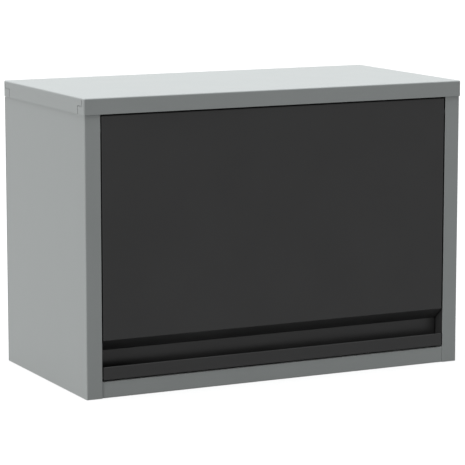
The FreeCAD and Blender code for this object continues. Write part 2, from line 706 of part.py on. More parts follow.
def hinge_plate():
    """Thick plate behind the right jamb profile that carries the hinge pin."""
    front = STILE_BACK + SHEET + HINGE_PLATE_SETBACK
    low = HINGE_Z - HINGE_PLATE_HEIGHT / 2
    plate = block(JAMB_INNER, JAMB_INNER + HINGE_PLATE_SHEET, front, front + HINGE_PLATE_WIDTH,
                  low, low + HINGE_PLATE_HEIGHT)
    start = JAMB_INNER - OVERRUN
    end = JAMB_INNER + HINGE_PLATE_SHEET + OVERRUN
    holes = [rod_x(RIVET_RADIUS + FIXED_FIT, start, end, HINGE_Y, z) for z in hinge_rivet_heights()]
    holes.append(rod_x(HINGE_PIN_RADIUS + FIXED_FIT, start, end, HINGE_Y, HINGE_Z))
    return plate.cut(holes)


def hinge_rivets():
    """Flat rivets through jamb profile and hinge plate; flush on the side of the door."""
    far = JAMB_INNER + HINGE_PLATE_SHEET
    rivets = []
    for z in hinge_rivet_heights():
        shank = rod_x(RIVET_RADIUS, OPENING_HALF, far, HINGE_Y, z)
        head = rod_x(RIVET_HEAD_RADIUS, far, far + RIVET_HEAD_HEIGHT, HINGE_Y, z)
        rivets.append(fused([shank, head]))
    return both_sides(rivets)


def hinge_pin():
    """Headed pin, fixed in the hinge plate, that reaches through the bushing of the door."""
    far = JAMB_INNER + HINGE_PLATE_SHEET
    tip = RETURN_INNER - PIVOT_PLATE_SHEET - BUSHING_FLANGE - BUSHING_TAIL - HINGE_PIN_END
    shank = rod_x(HINGE_PIN_RADIUS, tip, far, HINGE_Y, HINGE_Z)
    head = rod_x(HINGE_PIN_HEAD_RADIUS, far, far + HINGE_PIN_HEAD, HINGE_Y, HINGE_Z)
    return fused([shank, head])


def hinge_washer():
    """Nylon washer in the gap between jamb and door."""
    inner = DOOR_HALF + HINGE_WASHER_PLAY
    outer = OPENING_HALF - HINGE_WASHER_PLAY
    ring = rod_x(HINGE_WASHER_RADIUS, inner, outer, HINGE_Y, HINGE_Z)
    bore = rod_x(HINGE_PIN_RADIUS + TURNING_FIT, inner - OVERRUN, outer + OVERRUN, HINGE_Y, HINGE_Z)
    return ring.cut(bore)


# Door

def door_pan():
    """Upper part of the skin: front, top return and two side returns that end along the groove's slope."""
    groove_top = PANEL_EDGE_Z - GROOVE_SLOPE_DROP
    low = groove_top - OVERRUN
    top_rounds = lambda edge: edge.CenterOfMass.z > low and edge.CenterOfMass.y < LINER_FRONT - SHEET
    outer = rounded_block(-DOOR_HALF, DOOR_HALF, BODY_FRONT, LINER_FRONT, low, DOOR_TOP,
                          DOOR_CORNER_RADIUS, top_rounds)
    inner = rounded_block(-RETURN_INNER, RETURN_INNER, BODY_FRONT + SHEET, LINER_FRONT + OVERRUN,
                          low, DOOR_TOP - SHEET, BEND_INNER, top_rounds)
    outline = [(BODY_FRONT - OVERRUN, PAN_END_Z), (BODY_FRONT + SHEET, PAN_END_Z), (LINER_FRONT, groove_top),
               (LINER_FRONT, low - OVERRUN), (BODY_FRONT - OVERRUN, low - OVERRUN)]
    corners = [vec(-DOOR_HALF - OVERRUN, y, z) for y, z in outline]
    below = Part.Face(Part.makePolygon(corners + corners[:1])).extrude(vec(2 * (DOOR_HALF + OVERRUN), 0, 0))
    return outer.cut(inner).cut(below)


def door_outer_skin():
    """Front of the door, folded back into the finger groove and forward again into the hemmed strip."""
    channel_floor = DOOR_BOTTOM + SHEET
    strip_inner = BODY_FRONT + SHEET
    hem_turn = STRIP_TOP_Z - SHEET
    path = [(BODY_FRONT, PANEL_EDGE_Z + PAN_LAP), (BODY_FRONT, PANEL_EDGE_Z),
            (GROOVE_BACK, PANEL_EDGE_Z - GROOVE_SLOPE_DROP), (GROOVE_BACK, channel_floor),
            (strip_inner, channel_floor)]
    hem = [(strip_inner, channel_floor + SHEET), (strip_inner, hem_turn), (strip_inner + HEM_GAP, hem_turn),
           (strip_inner + HEM_GAP, hem_turn - HEM_LENGTH)]
    groove = folded_along_x(path + [(strip_inner, channel_floor + 2 * SHEET)], -DOOR_HALF, DOOR_HALF)
    beside_lap = block(RETURN_INNER - SEAM_GAP / 2, DOOR_HALF + OVERRUN, BODY_FRONT - OVERRUN,
                       BODY_FRONT + SHEET + OVERRUN, PAN_END_Z, PANEL_EDGE_Z + PAN_LAP + OVERRUN)
    groove = groove.cut(both_sides([beside_lap]))
    strip = folded_along_x(hem, -DOOR_HALF, DOOR_HALF, SHEET, HEM_INNER)
    skin = fused([door_pan(), groove, strip])
    side_hole = rod_x(BUSHING_RADIUS + FIXED_FIT, RETURN_INNER - OVERRUN, DOOR_HALF + OVERRUN,
                      HINGE_Y, HINGE_Z)
    return skin.cut(both_sides([side_hole]))


def liner_holes(y0, y1):
    """Holes through liner-side sheets for rivets of the stiffener and the stay brackets."""
    places = liner_rivet_places() + door_bracket_rivet_places()
    places += [(-x, z) for x, z in door_bracket_rivet_places()]
    return [rod_y(RIVET_RADIUS + FIXED_FIT, y0, y1, x, z) for x, z in places]


def door_liner():
    """Inner sheet of the door, with a flange along the middle of each side."""
    half = RETURN_INNER - SEAM_GAP
    flange_front = DOOR_BACK - LINER_FLANGE
    plan = [(half, flange_front), (half, DOOR_BACK), (-half, DOOR_BACK), (-half, flange_front)]
    flanged = folded_along_z(plan, PANEL_EDGE_Z + PAN_LAP, DOOR_TOP - LINER_FLANGE_END)
    flat = block(LINER_EDGE - half, half - LINER_EDGE, LINER_FRONT, DOOR_BACK,
                 DOOR_BOTTOM + LINER_EDGE, DOOR_TOP - LINER_EDGE)
    holes = liner_holes(LINER_FRONT - OVERRUN, DOOR_BACK + OVERRUN)
    screw_holes = [rod_y(SCREW_RADIUS + FIXED_FIT, LINER_FRONT - OVERRUN, DOOR_BACK + OVERRUN, x, z)
                   for x, z in striker_screw_places()]
    return fused([flanged, flat]).cut(holes + both_sides(screw_holes))


def door_stiffener():
    """Hat section across the door, between the skin and the liner."""
    crown = BODY_FRONT + SHEET
    middle = DOOR_TOP - STIFFENER_DROP
    low = middle - STIFFENER_CROWN / 2
    high = middle + STIFFENER_CROWN / 2
    path = [(LINER_FRONT, low - STIFFENER_FOOT), (LINER_FRONT, low), (crown + SHEET, low),
            (crown + SHEET, high), (LINER_FRONT, high), (LINER_FRONT, high + STIFFENER_FOOT)]
    hat = folded_along_x(path, -STIFFENER_HALF, STIFFENER_HALF)
    holes = [rod_y(RIVET_RADIUS + FIXED_FIT, GROOVE_BACK - OVERRUN, LINER_FRONT + OVERRUN, x, z)
             for x, z in liner_rivet_places()]
    return hat.cut(holes)


def liner_rivets():
    return [rivet_y(x, z, LINER_FRONT - SHEET, DOOR_BACK) for x, z in liner_rivet_places()]


def pivot_plate():
    """Thick plate inside the right side return that carries the bushing."""
    front = BODY_FRONT + SHEET + PIVOT_PLATE_SETBACK
    plate = block(RETURN_INNER - PIVOT_PLATE_SHEET, RETURN_INNER, front, front + PIVOT_PLATE_DEPTH,
                  HINGE_Z - PIVOT_PLATE_DOWN, HINGE_Z + PIVOT_PLATE_UP)
    hole = rod_x(BUSHING_RADIUS + FIXED_FIT, RETURN_INNER - PIVOT_PLATE_SHEET - OVERRUN,
                 RETURN_INNER + OVERRUN, HINGE_Y, HINGE_Z)
    return plate.cut(hole)


def pivot_bushing():
    """Flanged nylon bushing that turns on the hinge pin."""
    flange_outer = RETURN_INNER - PIVOT_PLATE_SHEET
    flange_inner = flange_outer - BUSHING_FLANGE
    end = flange_inner - BUSHING_TAIL
    sleeve = rod_x(BUSHING_RADIUS, end, DOOR_HALF, HINGE_Y, HINGE_Z)
    flange = rod_x(BUSHING_FLANGE_RADIUS, flange_inner, flange_outer, HINGE_Y, HINGE_Z)
    bore = rod_x(HINGE_PIN_RADIUS + TURNING_FIT, end - OVERRUN, DOOR_HALF + OVERRUN, HINGE_Y, HINGE_Z)
    return fused([sleeve, flange]).cut(bore)


# Stays

def stay_bar():
    """Right slotted bar, drawn along +Y from its pivot and then turned to its closed position."""
    pivot = vec(0, STAY_PIVOT_Y, STAY_PIVOT_Z)
    half = STAY_WIDTH / 2
    slot_half = STUD_RADIUS + STAY_SLOT_CLEARANCE
    slot_start = STAY_CLOSED_LENGTH - STAY_STOP_CLEARANCE
    slot_end = STAY_OPEN_LENGTH + STAY_STOP_CLEARANCE
    bar_end = slot_end + slot_half + STAY_END_WALL - half

    def stadium(radius, start, end, x0, x1):
        strip = block(x0, x1, start, end, -radius, radius)
        return fused([strip, rod_x(radius, x0, x1, start, 0), rod_x(radius, x0, x1, end, 0)])

    bar = stadium(half, 0, bar_end, STAY_INNER, STAY_OUTER)
    slot = stadium(slot_half, slot_start, slot_end, STAY_INNER - OVERRUN, STAY_OUTER + OVERRUN)
    hole = rod_x(PIVOT_RIVET_RADIUS + TURNING_FIT, STAY_INNER - OVERRUN, STAY_OUTER + OVERRUN, 0, 0)
    bar = bar.cut([slot, hole])
    bar.rotate(vec(0, 0, 0), vec(1, 0, 0), STAY_TILT)
    bar.translate(pivot)
    return bar


def stay_bracket():
    """Stand-off bracket from the right side wall; its face carries the guide stud."""
    face_x = STAY_OUTER + STAY_WASHER + 2 * STAY_SIDE_PLAY
    foot_x = SIDE_INNER - STAY_BRACKET_SHEET
    web_y = STUD_Y + STAY_BRACKET_WEB
    path = [(foot_x, web_y + STAY_BRACKET_FOOT), (foot_x, web_y), (face_x, web_y),
            (face_x, STUD_Y - STAY_BRACKET_FACE)]
    low = STUD_Z - STAY_BRACKET_HEIGHT / 2
    bracket = folded_along_z(path, low, low + STAY_BRACKET_HEIGHT, STAY_BRACKET_SHEET)
    holes = [rod_x(FRAME_STUD_RADIUS + FIXED_FIT, foot_x - OVERRUN, SIDE_INNER + OVERRUN, y, z)
             for y, z in bracket_stud_places()]
    holes.append(rod_x(STUD_RADIUS + FIXED_FIT, face_x - OVERRUN, face_x + STAY_BRACKET_SHEET + OVERRUN,
                       STUD_Y, STUD_Z))
    return bracket.cut(holes)


def guide_stud():
    """Headed stud through the bracket face, the bar's slot and the thumb nut."""
    face_x = STAY_OUTER + STAY_WASHER + 2 * STAY_SIDE_PLAY
    head_x = face_x + STAY_BRACKET_SHEET
    nut_x = STAY_INNER - STAY_WASHER - 2 * STAY_SIDE_PLAY - THUMB_NUT_HEIGHT
    shank = rod_x(STUD_RADIUS, nut_x - STUD_TIP, head_x, STUD_Y, STUD_Z)
    head = rod_x(STUD_HEAD_RADIUS, head_x, head_x + STUD_HEAD, STUD_Y, STUD_Z)
    return fused([shank, head])


def friction_washers():
    """Two washers on the guide stud, one on each face of the bar."""
    outer_x = STAY_OUTER + STAY_SIDE_PLAY
    inner_x = STAY_INNER - STAY_SIDE_PLAY - STAY_WASHER
    washers = []
    for x in (outer_x, inner_x):
        ring = rod_x(STUD_WASHER_RADIUS, x, x + STAY_WASHER, STUD_Y, STUD_Z)
        bore = rod_x(STUD_RADIUS + FIXED_FIT, x - OVERRUN, x + STAY_WASHER + OVERRUN, STUD_Y, STUD_Z)
        washers.append(ring.cut(bore))
    return washers


def thumb_nut():
    """Knurled nut that sets the friction of the stay."""
    outer_x = STAY_INNER - STAY_WASHER - 2 * STAY_SIDE_PLAY
    inner_x = outer_x - THUMB_NUT_HEIGHT
    body = rod_x(THUMB_NUT_RADIUS, inner_x, outer_x, STUD_Y, STUD_Z)
    cuts = [rod_x(STUD_RADIUS + FIXED_FIT, inner_x - OVERRUN, outer_x + OVERRUN, STUD_Y, STUD_Z)]
    for step in range(THUMB_NUT_GROOVES):
        angle = 2 * math.pi * step / THUMB_NUT_GROOVES
        y = STUD_Y + THUMB_NUT_RADIUS * math.cos(angle)
        z = STUD_Z + THUMB_NUT_RADIUS * math.sin(angle)
        cuts.append(rod_x(THUMB_NUT_GROOVE_RADIUS, inner_x - OVERRUN, outer_x + OVERRUN, y, z))
    return body.cut(cuts)


def door_bracket():
    """Angle on the door liner; its rounded ear carries the pivot of the right stay."""
    ear_x = STAY_INNER - STAY_WASHER
    edge_x = ear_x - DOOR_BRACKET_FOOT
    tip_y = STAY_PIVOT_Y + DOOR_BRACKET_RADIUS
    low = STAY_PIVOT_Z - DOOR_BRACKET_RADIUS
    high = STAY_PIVOT_Z + DOOR_BRACKET_RADIUS
    angle = folded_along_z([(edge_x, DOOR_BACK), (ear_x, DOOR_BACK), (ear_x, tip_y)], low, high,
                           DOOR_BRACKET_SHEET)
    keep_square = block(edge_x - OVERRUN, ear_x + OVERRUN, DOOR_BACK - OVERRUN, STAY_PIVOT_Y, low, high)
    keep_round = rod_x(DOOR_BRACKET_RADIUS, edge_x, ear_x + OVERRUN, STAY_PIVOT_Y, STAY_PIVOT_Z)
    bracket = angle.common(keep_square.fuse(keep_round)).removeSplitter()
    holes = [rod_y(RIVET_RADIUS + FIXED_FIT, DOOR_BACK - OVERRUN, DOOR_BACK + OVERRUN, x, z)
             for x, z in door_bracket_rivet_places()]
    holes.append(rod_x(PIVOT_RIVET_RADIUS + FIXED_FIT, ear_x - DOOR_BRACKET_SHEET - OVERRUN,
                       ear_x + OVERRUN, STAY_PIVOT_Y, STAY_PIVOT_Z))
    return bracket.cut(holes)


def door_bracket_rivets():
    """Rivets that join both stay brackets to the door liner."""
    back = DOOR_BACK + DOOR_BRACKET_SHEET
    return both_sides([rivet_y(x, z, LINER_FRONT, back) for x, z in door_bracket_rivet_places()])


def pivot_rivet():
    """Rivet through the ear, the spacer washer and the stay bar."""
    ear_x = STAY_INNER - STAY_WASHER
    outer_x = STAY_OUTER + STAY_SIDE_PLAY
    inner_x = ear_x - DOOR_BRACKET_SHEET
    shank = rod_x(PIVOT_RIVET_RADIUS, inner_x, outer_x, STAY_PIVOT_Y, STAY_PIVOT_Z)
    head = rod_x(PIVOT_RIVET_HEAD_RADIUS, outer_x, outer_x + PIVOT_RIVET_HEAD, STAY_PIVOT_Y, STAY_PIVOT_Z)
    tail = rod_x(PIVOT_RIVET_HEAD_RADIUS, inner_x - PIVOT_RIVET_HEAD, inner_x, STAY_PIVOT_Y, STAY_PIVOT_Z)
    return fused([shank, head, tail])


def pivot_washer():
    """Spacer between the ear and the stay bar."""
    inner_x = STAY_INNER - STAY_WASHER
    ring = rod_x(PIVOT_WASHER_RADIUS, inner_x, STAY_INNER - STAY_SIDE_PLAY, STAY_PIVOT_Y, STAY_PIVOT_Z)
    bore = rod_x(PIVOT_RIVET_RADIUS + FIXED_FIT, inner_x - OVERRUN, STAY_INNER + OVERRUN,
                 STAY_PIVOT_Y, STAY_PIVOT_Z)
    return ring.cut(bore)


# Catches and stops

def catch_body():
    """Right catch housing with a slot for the magnet and two upright screw holes."""
    left = CATCH_X - CATCH_LENGTH / 2
    right = CATCH_X + CATCH_LENGTH / 2
    back = CATCH_FRONT + CATCH_DEPTH
    top = LEDGE_TOP + CATCH_HEIGHT
    upright = lambda edge: abs(edge.CenterOfMass.z - CATCH_MIDDLE_Z) < CATCH_EDGE_RADIUS
    body = rounded_block(left, right, CATCH_FRONT, back, LEDGE_TOP, top, CATCH_EDGE_RADIUS, upright)
    pocket_half = MAGNET_HEIGHT / 2 + POLE_SHEET
    pocket = block(CATCH_X - MAGNET_LENGTH / 2, CATCH_X + MAGNET_LENGTH / 2,
                   CATCH_FRONT - OVERRUN, CATCH_FRONT + MAGNET_DEPTH,
                   CATCH_MIDDLE_Z - pocket_half, CATCH_MIDDLE_Z + pocket_half)
    holes = [rod_z(SCREW_RADIUS + FIXED_FIT, LEDGE_TOP - OVERRUN, top + OVERRUN, x, y)
             for x, y in catch_screw_places()]
    return body.cut(holes + [pocket])


def catch_magnet():
    """Magnet between two steel pole plates that stand a little proud of the housing."""
    left = CATCH_X - MAGNET_LENGTH / 2
    right = CATCH_X + MAGNET_LENGTH / 2
    back = CATCH_FRONT + MAGNET_DEPTH
    low = CATCH_MIDDLE_Z - MAGNET_HEIGHT / 2
    high = CATCH_MIDDLE_Z + MAGNET_HEIGHT / 2
    magnet = block(left, right, CATCH_FRONT, back, low, high)
    lower = block(left, right, CATCH_FRONT - POLE_PROUD, back, low - POLE_SHEET, low)
    upper = block(left, right, CATCH_FRONT - POLE_PROUD, back, high, high + POLE_SHEET)
    return fused([magnet, lower, upper])


def catch_screws():
    """Screws down through both catches into the ledge."""
    top = LEDGE_TOP + CATCH_HEIGHT
    length = CATCH_HEIGHT + SHEET + SCREW_TIP
    return both_sides([screw_down(x, y, top, length) for x, y in catch_screw_places()])


def strikers():
    """Steel plates on the door liner, opposite the magnets."""
    left = CATCH_X - STRIKER_LENGTH / 2
    right = CATCH_X + STRIKER_LENGTH / 2
    low = CATCH_MIDDLE_Z - STRIKER_HEIGHT / 2
    middle = (DOOR_BACK + STRIKER_BACK) / 2
    corner = lambda edge: abs(edge.CenterOfMass.y - middle) < STRIKER_SHEET / 4
    plate = rounded_block(left, right, DOOR_BACK, STRIKER_BACK, low, low + STRIKER_HEIGHT,
                          STRIKER_RADIUS, corner)
    holes = [rod_y(SCREW_RADIUS + FIXED_FIT, DOOR_BACK - OVERRUN, STRIKER_BACK + OVERRUN, x, z)
             for x, z in striker_screw_places()]
    return both_sides([plate.cut(holes)])


def striker_screws():
    """Low-head screws through striker and liner, flush in front so that the groove stays smooth."""
    screws = []
    for x, z in striker_screw_places():
        shank = rod_y(SCREW_RADIUS, LINER_FRONT, STRIKER_BACK, x, z)
        head = rod_y(STRIKER_HEAD_RADIUS, STRIKER_BACK, STRIKER_BACK + STRIKER_HEAD_HEIGHT, x, z)
        screws.append(fused([shank, head]))
    return both_sides(screws)


def stop_angle():
    """Angle on the ledge that holds the right rubber buffer."""
    left = BUFFER_X - ANGLE_WIDTH / 2
    right = BUFFER_X + ANGLE_WIDTH / 2
    path = [(ANGLE_FRONT, LEDGE_TOP + ANGLE_HEIGHT), (ANGLE_FRONT, LEDGE_TOP),
            (ANGLE_FRONT + ANGLE_SHEET + ANGLE_FOOT, LEDGE_TOP)]
    angle = folded_along_x(path, left, right, ANGLE_SHEET)
    holes = [rod_z(SCREW_RADIUS + FIXED_FIT, LEDGE_TOP - OVERRUN, LEDGE_TOP + OVERRUN, x, y)
             for x, y in angle_screw_places()]
    holes.append(rod_y(BUFFER_STEM_RADIUS + FIXED_FIT, ANGLE_FRONT - OVERRUN, ANGLE_FRONT + OVERRUN,
                       BUFFER_X, LEDGE_TOP + BUFFER_HEIGHT))
    return angle.cut(holes)


def stop_buffer():
    """Rubber buffer pushed into the stop angle."""
    z = LEDGE_TOP + BUFFER_HEIGHT
    back = ANGLE_FRONT + ANGLE_SHEET
    pad = rod_y(BUFFER_RADIUS, BUFFER_FRONT, ANGLE_FRONT, BUFFER_X, z)
    stem = rod_y(BUFFER_STEM_RADIUS, ANGLE_FRONT, back, BUFFER_X, z)
    knob = rod_y(BUFFER_KNOB_RADIUS, back, back + BUFFER_KNOB, BUFFER_X, z)
    return fused([pad, stem, knob])


def angle_screws():
    """Screws of both stop angles."""
    top = LEDGE_TOP + ANGLE_SHEET
    length = ANGLE_SHEET + SHEET + SCREW_TIP
    return both_sides([screw_down(x, y, top, length) for x, y in angle_screw_places()])


PAIRS = {
    "side_panel": side_panel,
    "jamb_profile": jamb_profile,
    "hinge_plate": hinge_plate,
    "hinge_pin": hinge_pin,
    "hinge_washer": hinge_washer,
    "pivot_plate": pivot_plate,
    "pivot_bushing": pivot_bushing,
    "stay_bar": stay_bar,
    "stay_bracket": stay_bracket,
    "guide_stud": guide_stud,
    "thumb_nut": thumb_nut,
    "door_bracket": door_bracket,
    "pivot_rivet": pivot_rivet,
    "pivot_washer": pivot_washer,
    "catch_body": catch_body,
    "catch_magnet": catch_magnet,
    "stop_angle": stop_angle,
    "stop_buffer": stop_buffer,
}

SINGLES = {
    "bottom_panel": bottom_panel,
    "back_panel": back_panel,
    "rear_top_rail": rear_top_rail,
    "top_front_rail": top_front_rail,
    "lid": lid,
    "door_outer_skin": door_outer_skin,
    "door_liner": door_liner,
    "door_stiffener": door_stiffener,
}

GROUPS = {
    "lid_studs": lid_studs,
    "lid_nuts": lid_nuts,
    "frame_studs": frame_studs,
    "frame_nuts": frame_nuts,
    "back_rivets": back_rivets,
    "hinge_rivets": hinge_rivets,
    "liner_rivets": liner_rivets,
    "door_bracket_rivets": door_bracket_rivets,
    "catch_screws": catch_screws,
    "strikers": strikers,
    "striker_screws": striker_screws,
    "angle_screws": angle_screws,
}


def build():
    """Makes every piece and writes it as its own file."""
    os.makedirs("parts", exist_ok=True)
    for node, maker in PAIRS.items():
        save_pair(node, maker())
    for node, maker in SINGLES.items():
        save(node, maker())
    for node, maker in GROUPS.items():
        save(node, Part.makeCompound(maker()))
    save_pair("friction_washers", Part.makeCompound(friction_washers()))


build()
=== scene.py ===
# %% [markdown]
# # Dressing a sheet-steel tool chest
#
# The chest is a folded steel box, 600 mm wide, with one inset door that flips up on two
# pins. Its solids are finished already: every sheet, bend, rivet and stay is a solid of
# its own, in metres, in one frame. The middle of the footprint is the origin, the front
# faces -Y and Z points up.
#
# So nothing is modelled twice here. The solids stay where they are and get real
# finishes. Only small turned pieces, such as rivets and screws, are made again, because
# a plain disc can't show a dome, a thread or a cross recess.

# %% Load the chest
import math

import bmesh
import bpy
from mathutils import Matrix, Vector


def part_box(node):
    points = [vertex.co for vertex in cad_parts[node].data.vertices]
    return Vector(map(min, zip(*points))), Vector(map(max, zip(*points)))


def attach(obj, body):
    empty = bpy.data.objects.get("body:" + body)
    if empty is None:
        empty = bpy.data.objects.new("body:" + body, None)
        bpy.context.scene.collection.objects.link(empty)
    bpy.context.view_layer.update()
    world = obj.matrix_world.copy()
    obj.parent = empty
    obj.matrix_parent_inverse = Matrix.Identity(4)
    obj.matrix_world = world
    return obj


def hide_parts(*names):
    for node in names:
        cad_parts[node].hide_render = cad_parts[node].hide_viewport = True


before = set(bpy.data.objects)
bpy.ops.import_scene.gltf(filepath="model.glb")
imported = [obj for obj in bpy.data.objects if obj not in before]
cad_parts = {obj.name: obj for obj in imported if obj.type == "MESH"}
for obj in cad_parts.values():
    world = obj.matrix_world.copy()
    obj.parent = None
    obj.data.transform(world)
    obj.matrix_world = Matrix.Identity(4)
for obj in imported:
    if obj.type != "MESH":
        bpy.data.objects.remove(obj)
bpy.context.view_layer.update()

# %% [markdown]
# ## Two small helpers
#
# Paint is chosen in sRGB, as on a colour card, but light adds up in linear
# values. One function turns the first into the second, so that every colour below can
# be written as plain hex.
#
# Node trees are wordy when each node, value and link takes a line. One function adds a
# node with its settings. An input that is given another node's socket is linked to it,
# and any other input is simply set.

# %% Colours and nodes
MM = 0.001


def linear(hex_colour):
    """An sRGB hex colour as linear red, green, blue and alpha."""
    parts = [int(hex_colour[start:start + 2], 16) / 255 for start in (1, 3, 5)]
    return *(p / 12.92 if p <= 0.04045 else ((p + 0.055) / 1.055) ** 2.4 for p in parts), 1.0


def add(tree, kind, inputs=None, **settings):
    """Add one shader node; inputs are values to set or sockets to link."""
    made = tree.nodes.new("ShaderNode" + kind)
    for name, value in settings.items():
        setattr(made, name, value)
    for key, value in (inputs or {}).items():
        if isinstance(value, bpy.types.NodeSocket):
            tree.links.new(value, made.inputs[key])
        else:
            made.inputs[key].default_value = value
    return made


print("mid grey #808080 is", round(linear("#808080")[0], 3), "in linear light")

# %% [markdown]
# ## The camera
#
# The photograph looks down on the chest from its left front corner with a long lens, so
# the box barely narrows towards the back. The seven corners that it shows were matched to
# their places in the photograph, which gave the camera's place, heading and lens.
#
# The photograph itself was made with a level camera and a shifted lens, which keeps
# uprights upright. A shift that large would push the chest out of any other view, so
# this camera tilts down by nine degrees and has no shift. The corners then lie within
# four pixels of the photograph's.

# %% Place the camera
CAMERA_PLACE = (-1.5713, -3.1600, 0.7494)
CAMERA_HEADING = 26.4448
CAMERA_PITCH = 8.9469
FOCAL_PIXELS = 2408.7
FRAME_PIXELS = 465
SENSOR = 36.0

camera = bpy.data.objects.new("camera", bpy.data.cameras.new("camera"))
bpy.context.scene.collection.objects.link(camera)
bpy.context.scene.camera = camera
camera.location = CAMERA_PLACE
camera.rotation_euler = (math.radians(90 - CAMERA_PITCH), 0, math.radians(-CAMERA_HEADING))
camera.data.sensor_width = SENSOR
camera.data.lens = SENSOR * FOCAL_PIXELS / FRAME_PIXELS
bpy.context.scene.view_settings.view_transform = "Standard"
print("lens in mm:", round(camera.data.lens, 1))

# %% [markdown]
# ## The light
#
# In the photograph the lid is the brightest side, the left wall is about half as
# bright, and the front is half of that again. Nothing throws a hard shadow, and the lid's
# flange doesn't darken the wall under it. That is a wide light straight above, a weaker
# one low on the left, and a little light from everywhere else. The left one is turned a
# bit to the front and is narrower than the top one, because it reaches the jamb at the
# far end of the finger groove. The lid is also a trace bluer than the walls, so the
# light from above is.
#
# A Sun lamp with a wide angle does this at any distance, so the chest looks the same
# wherever it stands. One lamp steeply from the left would also tell the three sides
# apart, but it would draw a dark line under the flange. The world adds a low, even
# level, at which a colour renders about as it is written.
#
# Paint and metal also mirror the room. The photograph's room is white, so the world is
# white for the rays that show it: those from the camera, off gloss and through glass.

# %% Sky and lamps
SKY_LEVEL = 0.168
TOP_LEVEL = 1.28
TOP_WIDTH = 40.0
TOP_TINT = "#FBFDFF"
LEFT_LEVEL = 0.467
LEFT_HEADING = -74.0
LEFT_HEIGHT = 12.0
LEFT_WIDTH = 20.0


def shows_room(tree):
    """1 for rays that come from the camera, off gloss or through glass."""
    path = add(tree, "LightPath")
    gloss = add(tree, "Math", {0: path.outputs["Is Camera Ray"],
                               1: path.outputs["Is Glossy Ray"]}, operation="MAXIMUM")
    return add(tree, "Math", {0: gloss.outputs[0], 1: path.outputs["Is Transmission Ray"]},
               operation="MAXIMUM").outputs[0]


world = bpy.data.worlds.new("white room")
world.use_nodes = True
bpy.context.scene.world = world
sky = world.node_tree
sky.nodes.clear()
level = add(sky, "MapRange", {"Value": shows_room(sky), "To Min": SKY_LEVEL, "To Max": 1.0})
room = add(sky, "Background", {"Color": linear("#FFFFFF"), "Strength": level.outputs[0]})
add(sky, "OutputWorld", {"Surface": room.outputs[0]})
world.cycles.sampling_method = "NONE"  # so that gloss meets only the rays meant for it


def sun(name, level, heading, height, width, tint="#FFFFFF"):
    """A wide lamp; level 1 lights a sheet that faces it to just its own colour."""
    lamp = bpy.data.lights.new(name, "SUN")
    lamp.energy = level * math.pi
    lamp.color = linear(tint)[:3]
    lamp.angle = math.radians(width)
    holder = bpy.data.objects.new(name, lamp)
    bpy.context.scene.collection.objects.link(holder)
    bearing, tilt = math.radians(heading), math.radians(height)
    towards = Vector((math.sin(bearing) * math.cos(tilt), -math.cos(bearing) * math.cos(tilt),
                      math.sin(tilt)))
    holder.rotation_euler = towards.to_track_quat("Z", "Y").to_euler()
    print(name, "shines from", [round(part, 2) for part in towards])
    return holder


sun("top lamp", TOP_LEVEL, 0, 90, TOP_WIDTH, TOP_TINT)
sun("left lamp", LEFT_LEVEL, LEFT_HEADING, LEFT_HEIGHT, LEFT_WIDTH)

# %% [markdown]
# ## The floor
#
# The photograph has no floor at all, only white. A real white floor would throw so much
# light up that the underside of the finger groove would turn pale, and there it is
# nearly black. So the floor is grey for the light it sends to the chest, and white for
# the rays that show it. A part of that white is its own glow and the rest is what it
# receives, so the chest still lays a faint shadow on it.

# %% Lay the floor
FLOOR_REACH = 40.0
FLOOR_BELOW = 0.3 * MM
FLOOR_GLOW = 0.75
FLOOR_DIM = 0.16
FLOOR_WHITE = 0.25

mesh = bpy.data.meshes.new("floor")
mesh.from_pydata([(x * FLOOR_REACH, y * FLOOR_REACH, -FLOOR_BELOW)
                  for x, y in ((-1, -1), (1, -1), (1, 1), (-1, 1))], [], [(0, 1, 2, 3)])
floor = bpy.data.objects.new("floor", mesh)
bpy.context.scene.collection.objects.link(floor)

paint = bpy.data.materials.new("studio floor")
paint.use_nodes = True
paint.cycles.emission_sampling = "NONE"
tree = paint.node_tree
tree.nodes.clear()
shown = shows_room(tree)
shade = add(tree, "MapRange", {"Value": shown, "To Min": FLOOR_DIM, "To Max": FLOOR_WHITE})
glow = add(tree, "MapRange", {"Value": shown, "To Min": 0.0, "To Max": FLOOR_GLOW})
matt = add(tree, "BsdfDiffuse", {"Color": shade.outputs[0]})
lit = add(tree, "Emission", {"Color": linear("#FFFFFF"), "Strength": glow.outputs[0]})
both = add(tree, "AddShader", {0: matt.outputs[0], 1: lit.outputs[0]})
add(tree, "OutputMaterial", {"Surface": both.outputs[0]})
mesh.materials.append(paint)
print("floor glow", FLOOR_GLOW, "with the lamps' light on top")

# %% [markdown]
# ## What every finish shares
#
# Each finish below starts with an empty material, the Principled shader and the
# object's own coordinates. The solids carry their place in their mesh, so these
# coordinates are real metres, and a pattern 3 mm wide gets a scale of 1 / 0.003. They
# move with the door, so the pattern stays on the paint when the door swings.
#
# No edge of pressed steel is perfectly sharp: a cut edge keeps a burr that is tumbled
# or painted over. The Bevel node finds how far a point's neighbours within its radius
# turn away. That gives a rounded normal for a small highlight, and a mask that is 1 on
# an edge and 0 on the flat.
#
# Noise seldom leaves the middle of its range from 0 to 1. A Map Range node that starts
# at 0.3 and ends at 0.7 stretches that middle, so that a pattern uses all it is given.

# %% Start a finish
NOISE_RANGE = {"From Min": 0.3, "From Max": 0.7}
EDGE_RANGE = {"From Min": 0.995, "From Max": 0.9}


def start(name):
    """An empty material: its tree, its Principled shader and coordinates in metres."""
    material = bpy.data.materials.new(name)
    material.use_nodes = True
    tree = material.node_tree
    tree.nodes.clear()
    shader = add(tree, "BsdfPrincipled")
    add(tree, "OutputMaterial", {"Surface": shader.outputs[0]})
    return material, tree, shader, add(tree, "TexCoord").outputs["Object"]


